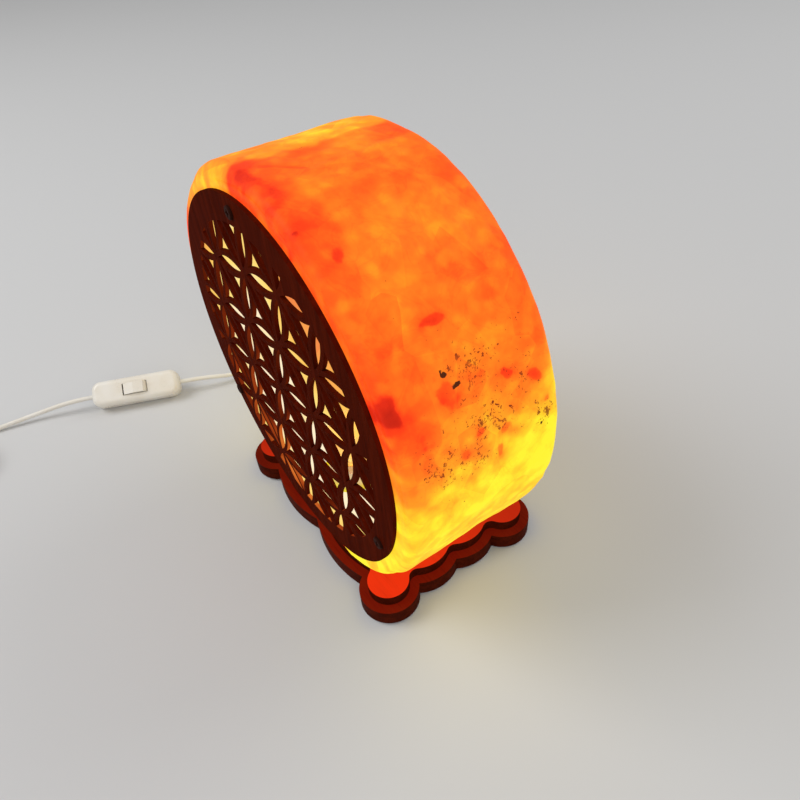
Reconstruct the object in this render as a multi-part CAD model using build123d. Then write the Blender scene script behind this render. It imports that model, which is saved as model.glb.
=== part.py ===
from build123d import *
import os
from math import cos, hypot, pi, radians, sin, sqrt, tan

# Salt crystal lamp: a hollow drum of rock salt stands on a flat, screwed to two stacked wooden
# plates with scalloped edges. A pierced wooden disc closes the drum's open front. A small bulb
# stands in a clip-in holder that comes up through the plates and the salt. The cord leaves the
# base at the back, passes a rocker switch, and ends in a coil and a two-pin plug.
# Frame: millimetres, +Z up, the front faces -Y. The origin lies on the floor under the middle
# of the base plates.

os.makedirs("parts", exist_ok=True)

# ---------------------------------------------------------------- driving dimensions
# base
pad_height = 1.5            # felt pads under the lower plate
pad_radius = 9.0
pad_inset = 17.0            # pad centre from the two outer faces of a corner
lower_thickness = 9.5
upper_thickness = 6.5
base_width = 157.0          # over the corner lobes
base_depth = 109.0
corner_lobe_radius = 15.5
front_valley_x = 49.0       # outer notch on the front and back edges; one more lies at x = 0
side_valley_y = 25.0        # outer notch on the side edges; one more lies at y = 0
valley_depth = 7.5          # how far the notches lie inside the corner lobes
front_lobe_rise = 4.4       # middle lobes beyond their notches
side_lobe_rise = 3.6
upper_inset = 5.0           # the upper plate's edge lies this far inside the lower plate's

# salt body
salt_radius = 105.0
salt_depth = 79.5
salt_front_gap = 7.5        # the salt's front face behind the base's front edge
flat_cut = 8.0              # depth of the flat cut off the drum's underside
salt_front_edge_radius = 4.5
salt_back_edge_radius = 6.5
salt_wall = 24.0            # from the drum's side to the cavity
salt_back_wall = 21.0
cavity_edge_radius = 10.0

# pierced front disc
grille_margin = 11.0        # salt left bare around the disc
grille_thickness = 2.0
hub_spacing = 34.0          # between neighbouring circle centres of the pattern
strip_width = 2.6           # wood left along each arc
rim_width = 13.0            # plain wood around the pattern
pattern_turn = 20.0         # degrees, the pattern's columns lean to the right
smallest_hole = 14.0        # square millimetres; cut holes under this are left out
whole_hole_margin = 1.0     # a hole that comes this near to the rim is cut by it

# screws and wall plugs
grille_screw_count = 3
grille_screw_inset = 6.5    # screw centres inside the disc's edge
grille_screw_start = -25.0  # degrees from +X, the first screw
grille_screw_radius = 1.5
grille_screw_length = 15.0
grille_head_radius = 3.0
grille_head_height = 1.3
grille_plug_radius = 2.6
base_screw_radius = 2.0
base_screw_reach = 13.0     # into the salt
base_head_radius = 4.0
base_head_height = 2.4
base_head_depth = 3.4       # counterbore in the lower plate
base_plug_radius = 4.0
plug_end_wall = 1.0
base_screw_back = (28.0, 20.0)
base_screw_front = (31.0, -33.0)
plug_extra = 1.5            # wall plugs reach this far past the screw's end

# lampholder and clip
holder_y = -17.5
holder_hole_radius = 18.0   # through both plates and the salt
sleeve_radius = 14.0
sleeve_wall = 1.6
core_drop = 1.5             # the core's top under the sleeve's top
core_rise = 3.0             # the core's underside above the sleeve's lower end
rivet_radius = 2.2          # bore of the core, and the contact's rivet in it
contact_button_radius = 3.4
holder_top_rise = 12.0      # sleeve's top above the cavity's lowest line
holder_cap_height = 14.0
holder_cap_gap = 0.6        # cap's underside above the lower plate's underside
holder_cap_wall = 3.2
holder_cap_floor = 1.6
holder_cap_spigot = 2.5     # the cap's collar inside the sleeve
cord_start_inset = 6.0      # the cord ends this far inside the cap's outer face
contact_shell_wall = 0.4
contact_shell_length = 20.0
contact_floor = 1.2         # brass tongue under the bulb's tip
clip_thickness = 1.0
clip_ring_width = 3.5
clip_ear_reach = 28.0
clip_ear_width = 10.0
clip_arm_thickness = 0.7
clip_arm_width = 6.0
clip_arm_height = 22.0
clip_arm_foot = 5.0         # upright part of an arm before it bows out
clip_arm_bend = 7.0         # the bow's widest point under the arm's tip
clip_arm_offset = 0.6       # between the sleeve and an arm's foot
clip_arm_lean = 0.4         # how far the arm's tip lies outside its foot
clip_arm_root = 0.2         # how deep an arm is let into the ring
clip_screw_radius = 1.4
clip_screw_length = 8.0
clip_head_radius = 2.8
clip_head_height = 1.4
recess_depth = 6.5          # pocket under the lower plate for the clip
recess_end_room = 1.5       # beyond the clip's ears
recess_side_room = 2.0      # beyond the clip's ring

# bulb
cap_radius = 6.9            # screw cap, drawn at the crest of its thread
cap_wall = 0.35
cap_length = 16.0
cap_floor = 1.2
cap_hole_radius = 4.4       # filled by the black ring
cap_overlap = 6.0           # how deep the glass sits in the cap
tip_height = 1.4
tip_radius = 2.4
tip_stud_radius = 1.0
tip_rounding = 0.8
tip_gap = 0.1               # between the tip and the holder's contact
glass_neck_radius = 6.3
glass_radius = 13.0
glass_wall = 0.7
glass_neck_length = 8.0
glass_shoulder = 12.0       # height of the curve from neck to full width
glass_straight = 6.0
stem_radius = 2.2
stem_lift = 0.4             # the stem's foot above the glass's lower end
stem_reach = 6.0            # the stem's top above the neck
stem_flare = 4.0
lead_spacing = 2.4
lead_straight = 2.5
filament_arch = 0.7         # height of the arch against half its span
filament_radius = 0.35
filament_span = 11.0

# cord, switch and plug
cord_diameter = 3.2
gland_width = 7.0
gland_length = 12.0
gland_collar = 2.5
boot_length = 22.0
boot_tip_wall = 0.8
boot_root_share = 0.85      # the boot's thick end against its collar
switch_length = 62.0
switch_width = 19.0
switch_height = 13.0
switch_wall = 1.7
switch_corner = 4.0
switch_end_corner = 6.5
switch_split = 4.2          # height of the lower shell
switch_start = (-174.5, -64.5)
switch_heading = 246.6      # degrees from +X, from the lamp's end to the far end
switch_roll = 38.0          # the switch lies rolled over on its lower edge
socket_depth = 2.0
switch_end_block = 5.0      # solid plastic behind each end wall
switch_screw_reach = 21.0   # screw centres from the pivot, along the switch
switch_boss_wall = 0.6
switch_boss_floor = 0.5
switch_screw_length = 5.0
switch_screw_seat = 1.6     # depth of the head's pocket
switch_screw_crown = 1.2
rocker_length = 17.0
rocker_width = 8.0
rocker_rise = 2.6
rocker_tilt = 7.0           # each way from level
rocker_pivot_depth = 3.0    # pivot under the cover's top
rocker_pin_radius = 1.0
rocker_floor_drop = 1.9     # the rocker's underside under its pivot
rocker_crown_depth = 10.0   # the bar's round ends are cut off below this
rocker_edge = 0.5
cheek_half_length = 3.5     # the two cheeks that hold the pin
cheek_width = 1.4
cheek_drop = 2.2            # under the pivot
cheek_cover = 0.4           # under the cover's top
contact_spread = 9.0
contact_size = (8.0, 5.0, 0.6)
switch_screw_radius = 1.1
switch_screw_head = 2.2
plug_width = 26.0
plug_height = 13.7
plug_length = 30.0
plug_neck = 12.0
plug_pin_radius = 2.0
plug_pin_length = 19.0
plug_pin_spacing = 18.6
plug_pin_root = 8.0         # length inside the body
pin_sleeve_length = 10.0
plug_boot_length = 24.0
plug_place = (-156.0, -273.0)
plug_heading = 2.0

# coil of put-away cord
coil_centre = (-197.0, -225.0)
coil_heading = 182.0
coil_turns = 3              # in each layer
coil_layers = 4
coil_middle_radius = 17.5
coil_gap = 1.15             # between neighbouring turns and layers

# named clearances
seat_gap = 0.05             # a plug in its hole, a screw in its plug, a tube in its tube
running_gap = 0.05          # radial, where a piece turns
slot_gap = 0.35             # rocker in its window, soft pieces beside hard ones

# ---------------------------------------------------------------- derived places
plate_bottom = pad_height
plates_joint = plate_bottom + lower_thickness
salt_bottom = plates_joint + upper_thickness
drum_z = salt_bottom + salt_radius - flat_cut
salt_front = -base_depth / 2 + salt_front_gap
salt_back = salt_front + salt_depth
cavity_radius = salt_radius - salt_wall
cavity_depth = salt_depth - salt_back_wall
cavity_floor = drum_z - cavity_radius
grille_radius = salt_radius - grille_margin
pattern_radius = grille_radius - rim_width
grille_screw_circle = grille_radius - grille_screw_inset
cord_radius = cord_diameter / 2
cord_height_in_base = plate_bottom + gland_width / 2
back_notch = base_depth / 2 - valley_depth


# ---------------------------------------------------------------- small helpers
def rod(start, direction, radius, length):
    """A round bar from start along direction."""
    plane = Plane(origin=start, z_dir=direction)
    return plane * Cylinder(radius, length, align=(Align.CENTER, Align.CENTER, Align.MIN))


def cone(start, direction, radius, end_radius, length):
    """A tapered round bar from start along direction."""
    plane = Plane(origin=start, z_dir=direction)
    return plane * Cone(radius, end_radius, length, align=(Align.CENTER, Align.CENTER, Align.MIN))


def block(x0, x1, y0, y1, z0, z1):
    """A box between two corners."""
    centre = ((x0 + x1) / 2, (y0 + y1) / 2, (z0 + z1) / 2)
    return Pos(*centre) * Box(x1 - x0, y1 - y0, z1 - z0)


def save(name, shape):
    """Write one piece, or a group of like pieces, as its own node."""
    solids = list(shape.solids())
    whole = solids[0] if len(solids) == 1 else Compound(children=solids)
    export_step(whole, "parts/" + name + ".step")
    volume = sum(s.volume for s in solids)
    print(f"{name}: {len(solids)} solid(s), {volume / 1000:.2f} cm3")


def group(shapes):
    """Like pieces kept as separate solids in one node."""
    return Compound(children=[s for shape in shapes for s in shape.solids()])


# ---------------------------------------------------------------- base plates
def half_side(sign_x, sign_y):
    """Points of one quarter of the scalloped outline: notches, with a crest between each two."""
    edge_x = base_width / 2
    edge_y = base_depth / 2
    notch_x = edge_x - valley_depth
    notch_y = edge_y - valley_depth
    corner_x = edge_x - corner_lobe_radius * (1 - sqrt(0.5))
    corner_y = edge_y - corner_lobe_radius * (1 - sqrt(0.5))
    points = [
        (0, notch_y),
        (front_valley_x / 2, notch_y + front_lobe_rise),
        (front_valley_x, notch_y),
        (corner_x, corner_y),
        (notch_x, side_valley_y),
        (notch_x + side_lobe_rise, side_valley_y / 2),
        (notch_x, 0),
    ]
    return [(sign_x * x, sign_y * y) for x, y in points]


def scalloped_outline():
    """The lower plate's outline: twelve round lobes that meet in sharp notches."""
    edges = []
    for sign_x, sign_y in ((1, 1), (1, -1), (-1, -1), (-1, 1)):
        points = half_side(sign_x, sign_y)
        for k in (0, 2, 4):
            edges.append(ThreePointArc(points[k], points[k + 1], points[k + 2]))
    return make_face(edges)


lower_outline = scalloped_outline()
upper_outline = offset(lower_outline, amount=-upper_inset, kind=Kind.ARC)

base_screw_places = []
for sign in (-1, 1):
    base_screw_places.append((sign * base_screw_back[0], base_screw_back[1]))
    base_screw_places.append((sign * base_screw_front[0], base_screw_front[1]))

recess_bottom = plate_bottom
recess_top = plate_bottom + recess_depth
recess_half_x = clip_ear_reach + recess_end_room
recess_half_y = sleeve_radius + clip_ring_width + recess_side_room
holder_axis = (0, holder_y)


def holder_hole(z0, z1):
    return rod((*holder_axis, z0), (0, 0, 1), holder_hole_radius, z1 - z0)


def make_lower_plate():
    plate = Pos(0, 0, plate_bottom) * extrude(lower_outline, lower_thickness)
    plate -= holder_hole(plate_bottom - 1, plates_joint + 1)
    plate -= block(-recess_half_x, recess_half_x, holder_y - recess_half_y,
                   holder_y + recess_half_y, recess_bottom - 1, recess_top)
    channel = cord_radius + slot_gap
    plate -= block(-channel, channel, holder_y, back_notch + 1,
                   plate_bottom - 1, cord_height_in_base + channel)
    pocket = gland_width / 2 + seat_gap
    plate -= block(-pocket, pocket, back_notch - gland_length, base_depth / 2,
                   plate_bottom - 1, cord_height_in_base + pocket)
    for x, y in base_screw_places:
        plate -= rod((x, y, plate_bottom - 1), (0, 0, 1), base_head_radius + slot_gap,
                     base_head_depth + 1)
        plate -= rod((x, y, plate_bottom), (0, 0, 1), base_screw_radius + seat_gap,
                     lower_thickness + 1)
    for x in (-clip_screw_x, clip_screw_x):
        plate -= rod((x, holder_y, recess_top - 1), (0, 0, 1), clip_screw_radius + seat_gap,
                     lower_thickness)
    return plate


def make_upper_plate():
    plate = Pos(0, 0, plates_joint) * extrude(upper_outline, upper_thickness)
    plate -= holder_hole(plates_joint - 1, salt_bottom + 1)
    for x, y in base_screw_places:
        plate -= rod((x, y, plates_joint - 1), (0, 0, 1), base_screw_radius + seat_gap,
                     upper_thickness + 2)
    clip_tip = recess_top - clip_thickness + clip_screw_length
    for x in (-clip_screw_x, clip_screw_x):
        plate -= rod((x, holder_y, plates_joint - 1), (0, 0, 1), clip_screw_radius + seat_gap,
                     max(clip_tip - plates_joint, 0) + 1.5)
    return plate


def make_pads():
    x = base_width / 2 - pad_inset
    y = base_depth / 2 - pad_inset
    places = [(-x, -y), (x, -y), (-x, y), (x, y)]
    return group([rod((px, py, 0), (0, 0, 1), pad_radius, pad_height) for px, py in places])


# ---------------------------------------------------------------- screws and plugs
def screw(head, direction, head_radius, head_height, shank_radius, length):
    """A round-headed screw; head is the seat's centre and direction is the way it drives."""
    axis = Vector(*direction)
    seat = Vector(*head)
    body = rod(tuple(seat), direction, shank_radius, length)
    cap = rod(tuple(seat - axis * head_height), direction, head_radius, head_height)
    crown = cap.edges().filter_by(GeomType.CIRCLE).sort_by(Axis(tuple(seat), direction))[0]
    cap = fillet(crown, head_height * 0.45)
    plane = Plane(origin=tuple(seat - axis * head_height), z_dir=direction)
    slot_depth = head_height * 0.6
    for turn in (0, 90):
        cap -= plane * Rot(0, 0, turn) * Box(head_radius * 1.1, head_radius * 0.28, 2 * slot_depth)
    return body + cap


def wall_plug(mouth, direction, radius, bore, length):
    """A ribbed wall plug without its ribs: a sleeve with a closed end."""
    sleeve = rod(mouth, direction, radius, length)
    return sleeve - rod(mouth, direction, bore, length - plug_end_wall)


def around_drum(radius, angle, y):
    """A point on a circle about the drum's axis; the angle is from +X towards +Z."""
    a = radians(angle)
    return (radius * cos(a), y, drum_z + radius * sin(a))


grille_front = salt_front - grille_thickness
grille_screw_angles = [grille_screw_start + k * 360 / grille_screw_count
                       for k in range(grille_screw_count)]
grille_screw_in_salt = grille_screw_length - grille_thickness + plug_extra
base_screw_seat = plate_bottom + base_head_depth
base_screw_length = salt_bottom + base_screw_reach - base_screw_seat
base_plug_length = base_screw_reach + plug_extra
clip_screw_x = clip_ear_reach - clip_ear_width / 2


def make_grille_screws():
    screws = []
    for angle in grille_screw_angles:
        seat = around_drum(grille_screw_circle, angle, grille_front)
        screws.append(screw(seat, (0, 1, 0), grille_head_radius, grille_head_height,
                            grille_screw_radius, grille_screw_length))
    return group(screws)


def make_grille_plugs():
    plugs = []
    for angle in grille_screw_angles:
        mouth = around_drum(grille_screw_circle, angle, salt_front)
        plugs.append(wall_plug(mouth, (0, 1, 0), grille_plug_radius,
                               grille_screw_radius + seat_gap, grille_screw_in_salt))
    return group(plugs)


def make_base_screws():
    return group([screw((x, y, base_screw_seat), (0, 0, 1), base_head_radius, base_head_height,
                        base_screw_radius, base_screw_length) for x, y in base_screw_places])


def make_base_plugs():
    return group([wall_plug((x, y, salt_bottom), (0, 0, 1), base_plug_radius,
                            base_screw_radius + seat_gap, base_plug_length)
                  for x, y in base_screw_places])


# ---------------------------------------------------------------- salt body
def make_salt():
    axis_start = (0, salt_front, drum_z)
    drum = rod(axis_start, (0, 1, 0), salt_radius, salt_depth)
    rims = drum.edges().filter_by(GeomType.CIRCLE).sort_by(Axis.Y)
    drum = fillet(rims[-1], salt_back_edge_radius)
    rims = drum.edges().filter_by(GeomType.CIRCLE).sort_by(Axis.Y)
    drum = fillet(rims[0], salt_front_edge_radius)
    drum -= block(-salt_radius, salt_radius, salt_front - 1, salt_back + 1,
                  drum_z - salt_radius - 1, salt_bottom)
    hollow = rod(axis_start, (0, 1, 0), cavity_radius, cavity_depth)
    inner_rim = hollow.edges().filter_by(GeomType.CIRCLE).sort_by(Axis.Y)[-1]
    hollow = fillet(inner_rim, cavity_edge_radius)
    drum -= hollow
    drum -= holder_hole(salt_bottom - 1, drum_z)
    for angle in grille_screw_angles:
        mouth = around_drum(grille_screw_circle, angle, salt_front - 1)
        drum -= rod(mouth, (0, 1, 0), grille_plug_radius + seat_gap, grille_screw_in_salt + 1)
    for x, y in base_screw_places:
        drum -= rod((x, y, salt_bottom - 1), (0, 0, 1), base_plug_radius + seat_gap,
                    base_plug_length + 1)
    return drum


# ---------------------------------------------------------------- pierced front disc
def arc_between(start, end, centre, radius):
    """The arc of a circle from start to end, the short way round."""
    middle = ((start[0] + end[0]) / 2 - centre[0], (start[1] + end[1]) / 2 - centre[1])
    stretch = radius / hypot(*middle)
    top = (centre[0] + middle[0] * stretch, centre[1] + middle[1] * stretch)
    return ThreePointArc(start, top, end)


def lattice(i, j):
    """Hub (i, j) of the triangular lattice that the circles of the pattern stand on."""
    return (hub_spacing * sqrt(3) / 2 * i, hub_spacing * (j + i / 2))


def petal(a, b, c, d):
    """The lens along hub pair a, b; its sides are arcs about the hubs c and d beside them."""
    radius = hub_spacing - strip_width / 2
    half = sqrt(radius ** 2 - 0.75 * hub_spacing ** 2)
    middle = ((a[0] + b[0]) / 2, (a[1] + b[1]) / 2)
    along = ((b[0] - a[0]) / hub_spacing, (b[1] - a[1]) / hub_spacing)
    start = (middle[0] - along[0] * half, middle[1] - along[1] * half)
    end = (middle[0] + along[0] * half, middle[1] + along[1] * half)
    return make_face([arc_between(start, end, c, radius), arc_between(end, start, d, radius)])


def triangle(a, b, c):
    """The three-sided opening between three hubs; its sides curve in around mirrored hubs."""
    radius = hub_spacing + strip_width / 2
    middle = ((a[0] + b[0] + c[0]) / 3, (a[1] + b[1] + c[1]) / 3)
    # a corner lies on the line from the middle to a hub, on the circles about both mirror hubs
    mirror_distance = 2 * hub_spacing / sqrt(3)
    reach = mirror_distance * 0.5 - sqrt(radius ** 2 - 0.75 * mirror_distance ** 2)
    corners = []
    mirrors = []
    for hub, other, third in ((a, b, c), (b, c, a), (c, a, b)):
        out = ((hub[0] - middle[0]), (hub[1] - middle[1]))
        size = hypot(*out)
        corners.append((middle[0] + out[0] / size * reach, middle[1] + out[1] / size * reach))
        mirrors.append((other[0] + third[0] - hub[0], other[1] + third[1] - hub[1]))
    edges = []
    for k in range(3):
        start = corners[k]
        end = corners[(k + 1) % 3]
        centre = mirrors[(k + 2) % 3]
        edges.append(arc_between(start, end, centre, radius))
    return make_face(edges)


def pattern_holes():
    """Every opening of the pattern inside the plain rim, flat on the XY plane."""
    reach = int(pattern_radius / hub_spacing) + 2
    holes = []
    for i in range(-reach, reach + 1):
        for j in range(-2 * reach, 2 * reach + 1):
            hub = lattice(i, j)
            right = lattice(i + 1, j)
            up = lattice(i, j + 1)
            down_right = lattice(i + 1, j - 1)
            up_left = lattice(i - 1, j + 1)
            openings = [
                petal(hub, right, up, down_right),
                petal(hub, up, right, up_left),
                petal(hub, down_right, right, lattice(i, j - 1)),
                triangle(hub, right, up),
                triangle(hub, down_right, right),
            ] if hypot(*hub) < pattern_radius + 2 * hub_spacing else []
            for hole in openings:
                centre = hole.center()
                if hypot(centre.X, centre.Y) < pattern_radius + hub_spacing / 2:
                    holes.append(hole)
    return holes


def make_grille():
    border = Circle(pattern_radius).face()
    kept = []
    for hole in pattern_holes():
        corners = [hypot(v.X, v.Y) for v in hole.vertices()]
        if max(corners) > pattern_radius - whole_hole_margin:
            cut = hole & border
            faces = cut.faces() if cut else []
            kept.extend(f for f in faces if f.area > smallest_hole)
        else:
            kept.append(hole)
    disc = Circle(grille_radius).face() - kept
    # the flat sheet's X and Y become the drum's X and Z; a clockwise lean seen from the front
    plane = Plane(origin=(0, salt_front, drum_z), x_dir=(1, 0, 0), z_dir=(0, -1, 0))
    plate = plane * Rot(0, 0, -pattern_turn) * extrude(disc, grille_thickness)
    for angle in grille_screw_angles:
        start = around_drum(grille_screw_circle, angle, grille_front - 1)
        plate -= rod(start, (0, 1, 0), grille_screw_radius + seat_gap, grille_thickness + 2)
    print(f"front disc: {len(kept)} openings")
    return plate


# ---------------------------------------------------------------- lampholder, clip, bulb
sleeve_bottom = plate_bottom + holder_cap_gap + holder_cap_height
sleeve_top = cavity_floor + holder_top_rise
core_top = sleeve_top - core_drop
core_bottom = sleeve_bottom + core_rise
shell_radius = cap_radius + running_gap + contact_shell_wall
shell_top = core_top
shell_bottom = shell_top - contact_shell_length
cap_bottom = shell_bottom + contact_floor + tip_height + tip_gap
cap_top = cap_bottom + cap_length
glass_bottom = cap_top - cap_overlap


def about_holder(shape):
    return Pos(0, holder_y, 0) * shape


def tube(radius, wall, z0, z1):
    """An upright tube on the holder's axis."""
    outer = rod((0, 0, z0), (0, 0, 1), radius, z1 - z0)
    return about_holder(outer - rod((0, 0, z0 - 1), (0, 0, 1), radius - wall, z1 - z0 + 2))


def make_sleeve():
    return tube(sleeve_radius, sleeve_wall, sleeve_bottom, sleeve_top)


def make_core():
    """The insulating core that carries the brass screw shell."""
    radius = sleeve_radius - sleeve_wall - seat_gap
    core = rod((0, 0, core_bottom), (0, 0, 1), radius, core_top - core_bottom)
    core -= rod((0, 0, shell_bottom), (0, 0, 1), shell_radius + seat_gap, contact_shell_length + 1)
    core -= rod((0, 0, sleeve_bottom), (0, 0, 1), rivet_radius, shell_bottom - sleeve_bottom + 1)
    return about_holder(core)


def make_contact_shell():
    return tube(shell_radius, contact_shell_wall, shell_bottom, shell_top)


def make_centre_contact():
    """A brass button on a rivet through the core."""
    button = rod((0, 0, shell_bottom), (0, 0, 1), contact_button_radius, contact_floor)
    rivet = rod((0, 0, core_bottom), (0, 0, 1), rivet_radius - seat_gap,
                shell_bottom - core_bottom)
    return about_holder(button + rivet)


def make_holder_cap():
    """The lower cap: it closes the sleeve, and the cord comes in through its side."""
    z0 = plate_bottom + holder_cap_gap
    cap = rod((0, 0, z0), (0, 0, 1), sleeve_radius, holder_cap_height)
    cap += rod((0, 0, z0 + holder_cap_height), (0, 0, 1), sleeve_radius - sleeve_wall - seat_gap,
               holder_cap_spigot)
    cap -= rod((0, 0, z0 + holder_cap_floor), (0, 0, 1), sleeve_radius - holder_cap_wall,
               holder_cap_height + holder_cap_spigot)
    cap -= rod((0, 0, cord_height_in_base), (0, 1, 0), cord_radius + seat_gap, sleeve_radius + 1)
    return about_holder(cap)


def make_clip():
    """Spring clip: a ring and two ears under the lower plate, two arms up into the salt."""
    z1 = recess_top
    z0 = z1 - clip_thickness
    ring = rod((0, 0, z0), (0, 0, 1), sleeve_radius + clip_ring_width, clip_thickness)
    ears = block(-clip_ear_reach, clip_ear_reach, -clip_ear_width / 2, clip_ear_width / 2, z0, z1)
    plate = ring + ears
    plate -= rod((0, 0, z0 - 1), (0, 0, 1), sleeve_radius + seat_gap, clip_thickness + 2)
    for x in (-clip_screw_x, clip_screw_x):
        plate -= rod((x, 0, z0 - 1), (0, 0, 1), clip_screw_radius + seat_gap, clip_thickness + 2)
    t = clip_arm_thickness
    foot = sleeve_radius + clip_arm_offset
    belly = sqrt(holder_hole_radius ** 2 - (clip_arm_width / 2) ** 2) - slot_gap
    top = z1 + clip_arm_height
    inner = [
        (foot, z1 - clip_arm_root),
        (foot, z1 + clip_arm_foot),
        (belly - t, top - clip_arm_bend),
        (foot + clip_arm_lean, top),
    ]
    outer = [(x + t, z) for x, z in reversed(inner)]
    for sign in (-1, 1):
        points = [(sign * x, z) for x, z in inner + outer]
        face = make_face(Polyline(*points, close=True))
        arm = Plane.XZ * face
        plate += Pos(0, clip_arm_width / 2, 0) * extrude(arm, clip_arm_width)
    return about_holder(plate)


def make_clip_screws():
    seat = recess_top - clip_thickness
    return group([screw((x, holder_y, seat), (0, 0, 1), clip_head_radius, clip_head_height,
                        clip_screw_radius, clip_screw_length)
                  for x in (-clip_screw_x, clip_screw_x)])


def glass_profile(grow):
    """Half outline of the bulb's glass, from the neck up; grow moves it in or out."""
    neck = glass_neck_radius + grow
    belly = glass_radius + grow
    z0 = glass_bottom
    z1 = z0 + glass_neck_length
    z2 = z1 + glass_shoulder
    z3 = z2 + glass_straight
    top = z3 + belly
    shoulder = Spline((neck, z1), (belly, z2), tangents=[(0, 1), (0, 1)])
    dome = ThreePointArc((belly, z3), (belly * sqrt(0.5), z3 + belly * sqrt(0.5)), (0, top))
    return [
        Line((0, z0), (neck, z0)),
        Line((neck, z0), (neck, z1)),
        shoulder,
        Line((belly, z2), (belly, z3)),
        dome,
        Line((0, top), (0, z0)),
    ]


def turned(edges):
    """The solid that a half outline sweeps about the holder's axis."""
    face = Plane.XZ * make_face(edges)
    return about_holder(revolve(face, Axis.Z))


def make_glass():
    inner = turned(glass_profile(-glass_wall))
    shell = turned(glass_profile(0)) - inner
    mouth = rod((0, holder_y, glass_bottom - 1), (0, 0, 1), glass_neck_radius - glass_wall, 3)
    return shell - mouth


def make_cap_shell():
    """The bulb's screw cap, closed below but for the ring of black glass."""
    outer = rod((0, 0, cap_bottom), (0, 0, 1), cap_radius, cap_length)
    outer -= rod((0, 0, cap_bottom + cap_floor), (0, 0, 1), cap_radius - cap_wall, cap_length)
    outer -= rod((0, 0, cap_bottom - 1), (0, 0, 1), cap_hole_radius, cap_floor + 2)
    return about_holder(outer)


def make_cap_insulator():
    ring = rod((0, 0, cap_bottom), (0, 0, 1), cap_hole_radius - seat_gap, cap_floor)
    ring -= rod((0, 0, cap_bottom - 1), (0, 0, 1), tip_stud_radius + seat_gap, cap_floor + 2)
    return about_holder(ring)


def make_tip():
    tip = rod((0, 0, cap_bottom - tip_height), (0, 0, 1), tip_radius, tip_height)
    tip += rod((0, 0, cap_bottom), (0, 0, 1), tip_stud_radius, cap_floor)
    low = tip.edges().filter_by(GeomType.CIRCLE).sort_by(Axis.Z)[0]
    return about_holder(fillet(low, tip_rounding))


stem_bottom = glass_bottom + stem_lift
stem_top = glass_bottom + glass_neck_length + stem_reach
filament_z = glass_bottom + glass_neck_length + glass_shoulder + glass_straight


def make_stem():
    flare = cone((0, 0, stem_bottom), (0, 0, 1), glass_neck_radius - glass_wall - seat_gap,
                 stem_radius, stem_flare)
    post = rod((0, 0, stem_bottom), (0, 0, 1), stem_radius, stem_top - stem_bottom)
    return about_holder(flare + post)


def make_lead_wires():
    """Two wires from the stem's pinch up to the filament's ends."""
    wires = []
    for sign in (-1, 1):
        x = sign * lead_spacing / 2
        path = Polyline((x, 0, stem_top), (x, 0, stem_top + lead_straight),
                        (sign * filament_span / 2, 0, filament_z))
        section = Plane(origin=path @ 0, z_dir=path % 0) * Circle(filament_radius)
        wires.append(about_holder(sweep(section, path=path, transition=Transition.RIGHT)))
    return group(wires)


def make_filament():
    """The glowing wire: an arch between the two lead wires."""
    half = filament_span / 2
    start = filament_z + filament_radius
    crown = start + half * filament_arch
    path = ThreePointArc((-half, 0, start), (0, 0, crown), (half, 0, start))
    section = Plane(origin=path @ 0, z_dir=path % 0) * Circle(filament_radius)
    return about_holder(sweep(section, path=path))


# ---------------------------------------------------------------- cord pieces in the base
def make_gland():
    """Square bushing in the lower plate's back edge, a collar, and a tapered boot."""
    half = gland_width / 2
    z = cord_height_in_base
    body = block(-half, half, back_notch - gland_length, back_notch, z - half, z + half)
    collar = rod((0, back_notch, z), (0, 1, 0), half, gland_collar)
    boot = cone((0, back_notch + gland_collar, z), (0, 1, 0), half * boot_root_share,
                cord_radius + boot_tip_wall, boot_length)
    whole = body + collar + boot
    whole -= rod((0, back_notch - gland_length - 1, z), (0, 1, 0), cord_radius + seat_gap,
                 gland_length + gland_collar + boot_length + 2)
    return whole


gland_end = back_notch + gland_collar + boot_length


def make_inner_cord():
    """From inside the holder's cap to the boot's tip, straight along the channel."""
    start = holder_y + sleeve_radius - cord_start_inset
    return rod((0, start, cord_height_in_base), (0, 1, 0), cord_radius, gland_end - start)


# ---------------------------------------------------------------- cord switch
# The switch is drawn flat, its length along +X from the lamp's end, its middle at height 0,
# and then rolled, turned and set down on the floor.
half_w = switch_width / 2
half_h = switch_height / 2
roll = radians(switch_roll)
switch_z = ((half_w - switch_corner) * sin(roll) + (half_h - switch_corner) * cos(roll)
            + switch_corner)
switch_place = (Pos(switch_start[0], switch_start[1], switch_z)
                * Rot(0, 0, switch_heading) * Rot(-switch_roll, 0, 0))
split_z = -half_h + switch_split
pivot_z = half_h - rocker_pivot_depth
pivot_x = switch_length / 2


def switch_block(shrink):
    """The switch's outer form, or its hollow when shrink is the wall."""
    length = switch_length - 2 * shrink
    width = switch_width - 2 * shrink
    height = switch_height - 2 * shrink
    plan = RectangleRounded(length, width, max(switch_end_corner - shrink, 0.5))
    solid = Pos(switch_length / 2, 0, -height / 2) * extrude(plan, height)
    flat_edges = (solid.faces().sort_by(Axis.Z)[0].edges()
                  + solid.faces().sort_by(Axis.Z)[-1].edges())
    return fillet(flat_edges, max(switch_corner - shrink, 0.4))


def cord_sockets():
    near = rod((-1, 0, 0), (1, 0, 0), cord_radius + seat_gap, socket_depth + 1)
    far = rod((switch_length + 1, 0, 0), (-1, 0, 0), cord_radius + seat_gap, socket_depth + 1)
    return near + far


switch_screw_places = [(pivot_x - switch_screw_reach, 0), (pivot_x + switch_screw_reach, 0)]


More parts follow.
